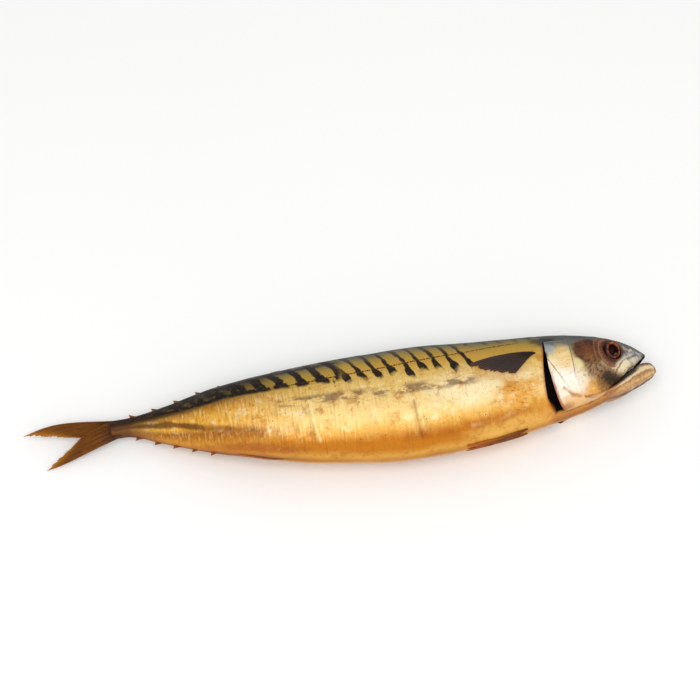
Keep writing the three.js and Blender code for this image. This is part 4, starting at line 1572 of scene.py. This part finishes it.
@dataclass
class Eye:
    """A cooked eye: a ring round a sunken pupil, set a little askew."""

    skin: Skin
    material: bpy.types.Material
    radius: float = 4.7  # millimetres along the head
    tall: float = 1.2  # its height as a share of its length
    tilt: float = math.radians(15.0)  # how far it looks down from the skin's normal
    askew: float = 0.10  # how far the pupil sits off the middle, as a share of the radius
    crest: float = 0.8  # millimetres that the ring stands up
    ring_at: float = 0.76  # the ring's place and breadth, as shares of the radius
    ring_breadth: float = 0.15
    pit: float = 2.4  # millimetres that the pupil is sunk
    drop: float = 1.8  # millimetres that the rim dips into the socket
    lens: float = 1.3  # height of the cooked lens in millimetres
    deep: float = 4.4  # millimetres from the skin to the eye's back
    steps: int = 40
    turns: int = 96

    def piece(self, flank: Flank) -> bpy.types.Object:
        """Builds the eye of one flank."""
        rim = np.linspace(0, 1, self.steps)[:, None]
        turn = np.linspace(0, 1, self.turns, endpoint=False)[None, :]
        wobble = Grain(41 + flank.value)
        around = 2 * math.pi * turn
        swell = 1 + 0.06 * wobble.at(2 + 2 * np.cos(around), 2 + 2 * np.sin(around))
        askew = self.askew * smooth(1.0, 0.45, rim)
        x = self.radius * (rim * swell * np.cos(around) - askew)
        y = self.radius * self.tall * (rim * swell * np.sin(around) + 0.6 * askew)
        lumps = wobble.at(5 + 5 * np.cos(around), 5 + 5 * np.sin(around) + rim * 3)
        ring = np.exp(-(((rim - self.ring_at) / self.ring_breadth) ** 2)) * (1 + 0.3 * lumps)
        height = self.crest * ring - self.pit * smooth(0.62, 0.44, rim) - self.drop * smooth(0.88, 1.0, rim)
        height = height + 0.10 * ring * wobble.at(9 + 9 * np.cos(around), 9 + 9 * np.sin(around))
        lens = np.exp(-((((turn - 0.62) / 0.09) ** 2) + ((rim - 0.46) / 0.12) ** 2))
        height = height + self.lens * lens
        middle = np.array(self.skin.spot(EYE, flank))
        across, towards, out = self.axes(flank)
        top = middle + (x[..., None] * across + y[..., None] * towards + (height - 0.2)[..., None] * out) * MM
        measures = {"rim": rim + 0 * turn, "turn": np.sin(2 * math.pi * turn) + 0 * rim, "lens": lens}
        name = f"eye_{flank.name.lower()}"
        draft = self.backed(top, middle - self.deep * MM * out, measures)
        return draft.piece(f"{name}_ball", "eye", self.material, [name])

    def axes(self, flank: Flank) -> tuple[Array, Array, Array]:
        """The directions towards the tail, towards the back and out of the head."""
        here = np.array(self.skin.spot(EYE, flank))
        back = np.array(self.skin.spot((EYE[0] + 1, EYE[1]), flank)) - here
        up = np.array(self.skin.spot((EYE[0], EYE[1] + 2), flank)) - here
        back /= np.linalg.norm(back)
        out = np.cross(up, back) * flank.value * -1
        out /= np.linalg.norm(out)
        out = out if out[2] * flank.value > 0 else -out
        towards = np.cross(out, back) * (1 if np.dot(np.cross(out, back), up) > 0 else -1)
        turned = out * math.cos(self.tilt) - towards * math.sin(self.tilt)
        return back, towards * math.cos(self.tilt) + out * math.sin(self.tilt), turned

    def backed(self, top: Array, deep: Array, measures: dict[str, Array]) -> Draft:
        """Closes the eye's face below with a round back."""
        edge = top[-1:]
        rings = [top[1:]] + [deep + (edge - deep) * np.array([s, s, 0.5 * s + 0.1]) for s in (0.75, 0.4)]
        wide = {key: np.concatenate([m[1:], m[-1:], m[-1:]]) for key, m in measures.items()}
        return outward(capped(np.concatenate(rings), [top[0].mean(axis=0), deep], wide))


# ---------------------------------------------------------------- lower jaw


@dataclass
class LowerJaw:
    """The lower jaw: a keeled scoop with a rounded lip and the trough of the mouth's floor."""

    skin: Skin
    mouth: Mouth
    material: bpy.types.Material
    steps: int = 90
    around: int = 48
    wall: float = 1.5  # millimetres
    floor: float = 0.55  # share of the depth that the trough takes

    def draft(self) -> Draft:
        """Builds the mesh: rings that go down the outside and back up the trough."""
        t = np.linspace(0, 1, self.steps)
        top, bottom = self.edge(self.mouth.jaw_top, t), self.edge(self.mouth.jaw_bottom, t)
        knots = np.linspace(0, 1, len(self.mouth.narrowing))
        half = self.mouth.jaw_half_width * through(knots, self.mouth.narrowing, t)
        turn = np.linspace(0, math.pi, self.around)
        keel = np.sin(turn) ** 0.8
        outer = self.ring(top, bottom, half, turn, keel)
        lean = self.wall * MM
        inner_half = np.maximum(half - lean, 0.25 * half)
        started = smooth(0.02, 0.2, t) * smooth(1.0, 0.9, t)
        inner_keel = keel[None, :] * (self.floor * started)[:, None]
        inner = self.ring(top, bottom, inner_half, turn[::-1], inner_keel[:, ::-1])
        outer = outer + self.ribs(t, turn)
        rings = np.concatenate([outer, inner], axis=1)
        reach_out = np.repeat(t[:, None], 2 * self.around, axis=1)
        depth = np.concatenate([np.minimum(turn, math.pi - turn) * 2 / math.pi, 0.02 * np.ones(self.around)])
        inside = np.concatenate([np.zeros(self.around), np.ones(self.around)])
        measures = {
            "reach": reach_out,
            "round": np.broadcast_to(depth, reach_out.shape),
            "inner": np.broadcast_to(inside, reach_out.shape),
        }
        tip = rings[-1].mean(axis=0) + np.array([0.4 * MM, 0, 0])
        return outward(capped(rings, [rings[0].mean(axis=0), tip], measures))

    def edge(self, outline: Sequence[Knot], t: Array) -> Array:
        """Points along an edge of the jaw, in the X-Y plane."""
        knots = np.linspace(0, 1, len(outline))
        stations, shares = np.array(outline).T
        x = self.skin.along(through(knots, stations, t))
        return np.stack([x, self.skin.level(through(knots, shares, t))], axis=-1)

    def ring(self, top: Array, bottom: Array, half: Array, turn: Array, keel: Array) -> Array:
        """Half rings from lip to lip below the jaw's top edge."""
        keel = np.broadcast_to(keel, (len(top), len(turn)))
        plane = top[:, None, :] + (bottom - top)[:, None, :] * keel[..., None]
        z = self.skin.trunk_height + half[:, None] * np.cos(turn)[None, :]
        return np.concatenate([plane, z[..., None]], axis=-1)

    def ribs(self, t: Array, turn: Array) -> Array:
        """Long low ridges on the jaw's outside, as offsets outwards."""
        sideways = np.cos(turn)[None, :]
        wave = 0.22 * np.sin(turn * 9)[None, :] * np.sin(math.pi * t)[:, None] ** 0.5
        grain = 0.18 * Grain(51).at(t[:, None] * 9, turn[None, :] * 3)
        out = np.zeros((len(t), len(turn), 3))
        out[..., 2] = (wave + grain) * sideways * MM
        out[..., 1] = -(wave + grain) * np.sin(turn)[None, :] * 0.6 * MM
        return out

    def build(self) -> bpy.types.Object:
        """Makes the dressed piece."""
        return self.draft().piece("lower_jaw_skin", "jaw_skin", self.material, ["lower_jaw"])


# ---------------------------------------------------------------- fins


@dataclass
class RayFan:
    """A thin fan of rays: place(out, across) says where a point of it lies and which way is up."""

    place: Callable[[Array, Array], tuple[Array, Array]]
    rays: int
    root: float  # thickness in metres where it grows
    tip: float  # thickness at its margin
    ridge: float  # height of the rays
    ragged: float  # share of a ray's length that its end may lack
    seed: int
    strands: int = 6
    steps: int = 70

    def draft(self) -> Draft:
        """Builds the closed sheet of rays."""
        columns = self.rays * self.strands + 1
        across = np.linspace(0, 1, columns)[None, :]
        out = np.linspace(0, 1, self.steps)[:, None]
        chance = Grain(self.seed)
        tear = np.abs(chance.at(across * self.rays * 0.9, 0.3)) * 0.6
        tear = tear + np.abs(chance.at(across * self.rays * 2.7, 5.3)) * 0.4
        length = 1.0 - self.ragged * tear
        middle, up = self.place(out * length, across + 0 * out)
        ray = across * self.rays
        crest = 0.5 + 0.5 * np.cos(2 * math.pi * ray)
        swell = self.ridge * (crest + 0.4 * chance.at(ray * 1.7, out * 6))
        swell = swell * smooth(0, 0.08, out) * smooth(1.0, 0.9, out)
        body = blend(self.root, self.tip, out**0.7) / 2
        edge = 0.35 + 0.65 * np.minimum(smooth(0, 0.03, across), smooth(1, 0.97, across))
        top = middle + up * ((body + swell) * edge)[..., None]
        bottom = middle - up * ((body + 0.5 * swell) * edge)[..., None]
        measures = {"ray": ray + 0 * out, "out": out * length}
        return outward(slab(top, bottom, measures))


@dataclass(frozen=True)
class FlankFin:
    """A fin folded back on the flank: its outline's corners and bows, and its rays."""

    name: str
    root: Spot
    upper: Spot  # the bow of the upper ray
    tip: Spot
    hem: Spot  # the bow of the hem from tip to heel
    heel: Spot
    lower: Spot  # the bow of the lowest ray
    base: float  # millimetres along the root
    rays: int
    thick: float  # metres, at the root
    ridge: float  # height of the rays in metres
    ragged: float  # share of a ray's length that its end may lack
    seed: int
    lift: float = 0.25  # millimetres above the skin


PECTORAL = FlankFin(
    name="pectoral_fin",
    root=(61.6, 17.5),
    upper=(76.0, 27.5),
    tip=(98.0, 15.0),
    hem=(87.0, 1.0),
    heel=(73.5, -4.5),
    lower=(67.0, 8.0),
    base=2.4,
    rays=15,
    thick=0.0011,
    ridge=0.00028,
    ragged=0.10,
    seed=61,
)
PELVIC = FlankFin(
    name="pelvic_fin",
    root=(71.0, -83.0),
    upper=(88.0, -77.0),
    tip=(107.0, -100.0),
    hem=(100.0, -102.0),
    heel=(92.0, -99.0),
    lower=(80.0, -92.0),
    base=1.2,
    rays=8,
    thick=0.0010,
    ridge=0.0002,
    ragged=0.14,
    seed=65,
)


@dataclass
class Fins:
    """The paired fins, the folded fins of the midline, and the finlets."""

    skin: Skin
    dark: bpy.types.Material
    amber: bpy.types.Material
    belly: bpy.types.Material
    above_table: float = 0.6  # millimetres, the least height of a fin below the fish

    def on_flank(self, fin: FlankFin, flank: Flank) -> Callable[[Array, Array], tuple[Array, Array]]:
        """Lays a folded fin over the skin.

        Args:
            fin: The fin's outline.
            flank: The flank that it lies on.

        Returns:
            A function that places the fin's points.
        """

        def place(out: Array, across: Array) -> tuple[Array, Array]:
            """Points of the fin and their outward normals."""
            spots = []
            for k in (0, 1):
                end = bowed(fin.tip[k], fin.hem[k], fin.heel[k], across)
                bow = blend(fin.upper[k], fin.lower[k], across)
                spread = fin.base if k == 0 else -fin.base
                start = fin.root[k] + spread * (across - 0.5)
                spots.append(bowed(start, bow, end, out))
            behind, girth = spots
            angle = girth if flank is Flank.RIGHT else 180 - girth
            station = self.skin.share(behind)
            pleat = 0.35 * np.sin(across * 9.0 + 1.0) * np.sin(math.pi * np.clip(out, 0, 1)) ** 0.7
            middle = self.skin.place(station, angle, (fin.lift + pleat * 0.6 + 0.25) * MM)
            middle[..., 2] = np.maximum(middle[..., 2], self.above_table * MM)
            return middle, self.out_of_skin(station, angle)

        return place

    def out_of_skin(self, station: Array, angle: Array) -> Array:
        """Unit normals of the smooth skin."""
        up = self.skin.place(station, angle, MM) - self.skin.place(station, angle)
        return up / np.linalg.norm(up, axis=-1, keepdims=True)

    def crosswise(self, station: Array, edge: Midline) -> Array:
        """Unit vectors from flank to flank over an edge of the fish."""
        ends = [self.skin.place(station, edge.value + turn) for turn in (-90.0, 90.0)]
        sideways = ends[0] - ends[1]
        return sideways / np.linalg.norm(sideways, axis=-1, keepdims=True)

    def paired(self, flank: Flank) -> None:
        """Builds the pectoral and the pelvic fin of one flank."""
        for fin, slot, material in ((PECTORAL, "dark_fin", self.dark), (PELVIC, "brown_fin", self.belly)):
            fan = RayFan(
                self.on_flank(fin, flank),
                fin.rays,
                root=fin.thick,
                tip=0.0005,
                ridge=fin.ridge,
                ragged=fin.ragged,
                seed=fin.seed + flank.value,
            )
            node = f"{fin.name}_{flank.name.lower()}"
            fan.draft().piece(f"{node}_rays", slot, material, [node])

    def folded(self, node: str, edge: Midline, start: float, length: float, height: float, rays: int) -> None:
        """Builds a fin folded flat along the back or the belly.

        Args:
            node: The fin's node in the frame.
            edge: Back or belly.
            start: Where it starts, in millimetres behind the snout.
            length: Its length in millimetres.
            height: How far it stands above the skin in millimetres.
            rays: How many rays lie along it.
        """

        def place(out: Array, across: Array) -> tuple[Array, Array]:
            """Points of a low crest along the midline, and the way across it."""
            behind = start + length * (0.72 * across + 0.28 * out) + 2.5 * out
            crest = height * out * np.sin(math.pi * np.clip(0.08 + 0.9 * across, 0, 1)) ** 0.6
            station = self.skin.share(behind)
            lean = 6.0 * out * np.sin(across * 5.0)
            angle = edge.value - lean
            middle = self.skin.place(station, angle, (crest - 0.5) * MM)
            return middle, self.crosswise(station, edge)

        fan = RayFan(
            place, rays, root=0.0016, tip=0.0006, ridge=0.0003, ragged=0.25, seed=70 + rays, steps=24
        )
        looks = {Midline.BACK: ("dark_fin", self.dark), Midline.BELLY: ("brown_fin", self.belly)}
        fan.draft().piece(f"{node}_rays", *looks[edge], [node])

    def finlet(self, node: str, edge: Midline, seed: int) -> None:
        """Builds one finlet, a torn little sail, where the frame has it."""
        low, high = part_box(node)
        reach_x = high.x - low.x
        station_root = (self.skin.along(0.0) - (high.x - 0.12 * reach_x)) / self.skin.shape.length

        def place(out: Array, across: Array) -> tuple[Array, Array]:
            """Points of the sail, swept back to its tip, and the way across it."""
            run = self.skin.share(reach_x / MM * 0.6)
            station = station_root + run * blend(across, 1.25, out)
            crest = 2.3 * out**1.2
            angle = edge.value + 6.0 * np.sin(seed * 2.1) * out
            middle = self.skin.place(station, angle, (crest - 0.4) * MM)
            return middle, self.crosswise(station, edge)

        fan = RayFan(
            place,
            rays=5,
            root=0.0012,
            tip=0.0004,
            ridge=0.00015,
            ragged=0.35,
            seed=80 + seed,
            strands=4,
            steps=14,
        )
        fan.draft().piece(f"{node}_rays", "brown_fin", self.amber, [node])


@dataclass(frozen=True)
class LobeShape:
    """A tail lobe's outline, in metres from the stalk's axis."""

    length: float
    tip: float
    inner: float
    bow: float
    fork: float  # how far from the stalk the lobes part, as a share of the length
    root_high: float  # the root's edges, as shares of half the stalk's depth
    root_low: float
    forward: float  # how far it stands towards the right flank


@dataclass
class Tail:
    """The tail fin: two lobes of rays, the lower one growing over the upper one's root."""

    skin: Skin
    material: bpy.types.Material
    upper: LobeShape = LobeShape(
        length=0.048,
        tip=0.0086,
        inner=0.0068,
        bow=0.0022,
        fork=0.36,
        root_high=1.0,
        root_low=-0.2,
        forward=0.0,
    )
    lower: LobeShape = LobeShape(
        length=0.038,
        tip=0.0172,
        inner=0.0150,
        bow=-0.0004,
        fork=0.40,
        root_high=1.0,
        root_low=-0.75,
        forward=0.0012,
    )
    inset: float = 0.004  # metres that the rays grow over the stalk
    fall: tuple[float, float, float] = (-1.0, -0.035, -0.075)  # the way the fin points
    rays: int = 24

    def place_of(self, lobe: Lobe, shape: LobeShape) -> Callable[[Array, Array], tuple[Array, Array]]:
        """Spreads a lobe's rays from the stalk to its torn inner edge.

        Args:
            lobe: Which lobe.
            shape: Its outline.

        Returns:
            A function that places the lobe's points.
        """
        roll = self.skin.shape.tail_roll
        up = np.array([0.0, math.cos(roll), math.sin(roll)])
        flat = np.array([0.0, -math.sin(roll), math.cos(roll)])
        end = np.array(1.0)
        stalk = float(self.skin.half_depth(end))
        start = np.array([self.skin.tail_end, self.skin.axis_level(end), self.skin.mid_height(end)], float)
        fall = np.array(self.fall)
        sign = lobe.value

        def place(out: Array, across: Array) -> tuple[Array, Array]:
            """Points of the lobe and the way out of its plane."""
            ending = 1.0 - (1.0 - shape.fork) * across**0.9
            u = out * ending
            outer = blend(stalk, shape.tip, u) + shape.bow * np.sin(math.pi * u**1.2)
            inner = shape.inner * np.maximum(u - shape.fork, 0) / (1 - shape.fork) - 0.0004
            root = blend(shape.root_high, shape.root_low, across)
            fan = across + (1 - across) * out ** blend(7.0, 1.3, across)
            spread = blend(outer, inner, fan)
            near_root = smooth(0.45, 0.0, u)
            height = blend(spread, root * outer, near_root)
            grown = 0.55 + 0.45 * np.sin(across * 6.0 + 1.0) + 0.25 * np.sin(across * 31.0)
            back = shape.length * u - self.inset * grown * (1 - out) ** 2
            drop = shape.length * u
            lean = shape.forward * smooth(0.9, 0.0, out) + 0.0006 * np.sin(across * 7.0) * out
            middle = start + back[..., None] * fall * [1, 0, 0] + drop[..., None] * fall * [0, 1, 1]
            middle = middle + (sign * height)[..., None] * up + lean[..., None] * flat
            return middle, np.broadcast_to(flat, middle.shape)

        return place

    def build(self, lobe: Lobe) -> bpy.types.Object:
        """Makes one dressed lobe."""
        shape = self.upper if lobe is Lobe.UPPER else self.lower
        fan = RayFan(
            self.place_of(lobe, shape),
            self.rays,
            root=0.0026,
            tip=0.0006,
            ridge=0.00036,
            ragged=0.08,
            seed=90 + lobe.value,
            strands=5,
            steps=110,
        )
        node = f"tail_fin_{lobe.name.lower()}_lobe"
        return fan.draft().piece(f"{node}_rays", "brown_fin", self.material, [node])


# ---------------------------------------------------------------- studio


@dataclass
class Studio:
    """A pale floor, soft lights and the camera, aimed at a set offset from the origin."""

    azimuth: float = -9.0
    elevation: float = 62.0
    distance: float = 1.4
    frame_width: float = 0.376  # metres across the view at the fish
    right: float = 0.0046  # metres that the aim is moved across the view
    up: float = 0.0421
    floor_half: float = 3.0
    floor_level: float = -0.0002
    lamp_distance: float = 1.6
    room_light: float = 0.66

    def toward(self, azimuth: float, elevation: float) -> Vector:
        """The direction from the object to a place seen at these angles."""
        a, e = math.radians(azimuth), math.radians(elevation)
        return Vector((math.sin(a) * math.cos(e), -math.cos(a) * math.cos(e), math.sin(e)))

    def floor(self) -> None:
        """A wide pale table."""
        mesh = bpy.data.meshes.new("floor")
        half = self.floor_half
        corners = [(-half, -half), (half, -half), (half, half), (-half, half)]
        mesh.from_pydata([(x, y, self.floor_level) for x, y in corners], [], [(0, 1, 2, 3)])
        tree = ShaderTree("pale_table")
        grain = tree.noise(tree.place(), 0.4, 2.0)
        tint = tree.mix(colour("f7f7f6"), colour("fbfbfa"), grain)
        mesh.materials.append(tree.dress(Base_Color=tint, Roughness=0.9, Specular_IOR_Level=0.1))
        floor = bpy.data.objects.new("floor", mesh)
        bpy.context.scene.collection.objects.link(floor)

    def lamp(self, name: str, azimuth: float, elevation: float, size: float, power: float) -> None:
        """A square soft light.

        Args:
            name: The light's name.
            azimuth: Where it stands, as the camera's.
            elevation: How high it stands.
            size: Its side in metres.
            power: Its power in watts.
        """
        data = bpy.data.lights.new(name, "AREA")
        data.size = size
        data.energy = power
        lamp = bpy.data.objects.new(name, data)
        toward = self.toward(azimuth, elevation)
        lamp.location = toward * self.lamp_distance
        lamp.rotation_euler = toward.to_track_quat("Z", "Y").to_euler()
        bpy.context.scene.collection.objects.link(lamp)

    def camera(self) -> None:
        """The camera, looking down on the flank from the belly's side."""
        data = bpy.data.cameras.new("camera")
        data.sensor_width = 36.0
        data.lens = data.sensor_width * self.distance / self.frame_width
        camera = bpy.data.objects.new("camera", data)
        back = self.toward(self.azimuth, self.elevation)
        turn = back.to_track_quat("Z", "Y")
        aim = turn @ Vector((self.right, self.up, 0.0))
        camera.location = aim + back * self.distance
        camera.rotation_mode = "QUATERNION"
        camera.rotation_quaternion = turn
        bpy.context.scene.collection.objects.link(camera)
        bpy.context.scene.camera = camera

    def build(self) -> None:
        """Sets up the whole studio."""
        scene = bpy.context.scene
        scene.view_settings.view_transform = "Standard"
        world = bpy.data.worlds.new("pale_room")
        world.use_nodes = True
        background = world.node_tree.nodes["Background"]
        background.inputs["Color"].default_value = (1, 1, 1, 1)
        background.inputs["Strength"].default_value = self.room_light
        scene.world = world
        self.floor()
        self.camera()
        self.lamp("key", azimuth=-20.0, elevation=66.0, size=0.9, power=11.0)
        self.lamp("fill", azimuth=60.0, elevation=40.0, size=1.2, power=3.0)


# ---------------------------------------------------------------- the fish


def main() -> None:
    """Builds every piece of the fish, then the studio."""
    logging.basicConfig(level=logging.INFO, format="%(name)s %(message)s")
    skin, gill, mouth = Skin(BodyShape()), GillOpening(), Mouth()
    Trunk(skin, gill, mouth, SmokedSkin()).build()
    cover = GillCover(skin, gill, GillBone().material())
    eye = Eye(skin, CookedEye().material())
    fins = Fins(skin, DARK_FIN.material(), FINLET.material(), BELLY_FIN.material())
    for flank in (Flank.RIGHT, Flank.LEFT):
        cover.piece(flank)
        eye.piece(flank)
        fins.paired(flank)
    LowerJaw(skin, mouth, JawSkin().material()).build()
    fins.folded("first_dorsal_fin", Midline.BACK, start=102.3, length=47.0, height=0.9, rays=11)
    fins.folded("second_dorsal_fin", Midline.BACK, start=181.5, length=26.0, height=1.0, rays=9)
    fins.folded("anal_fin", Midline.BELLY, start=190.0, length=35.0, height=1.2, rays=10)
    for number in range(1, 6):
        fins.finlet(f"dorsal_finlet_{number}", Midline.BACK, seed=number)
        fins.finlet(f"anal_finlet_{number}", Midline.BELLY, seed=number + 7)
    tail = Tail(skin, BROWN_FIN.material())
    for lobe in Lobe:
        tail.build(lobe)
    Studio().build()


if __name__ == "__main__":
    main()
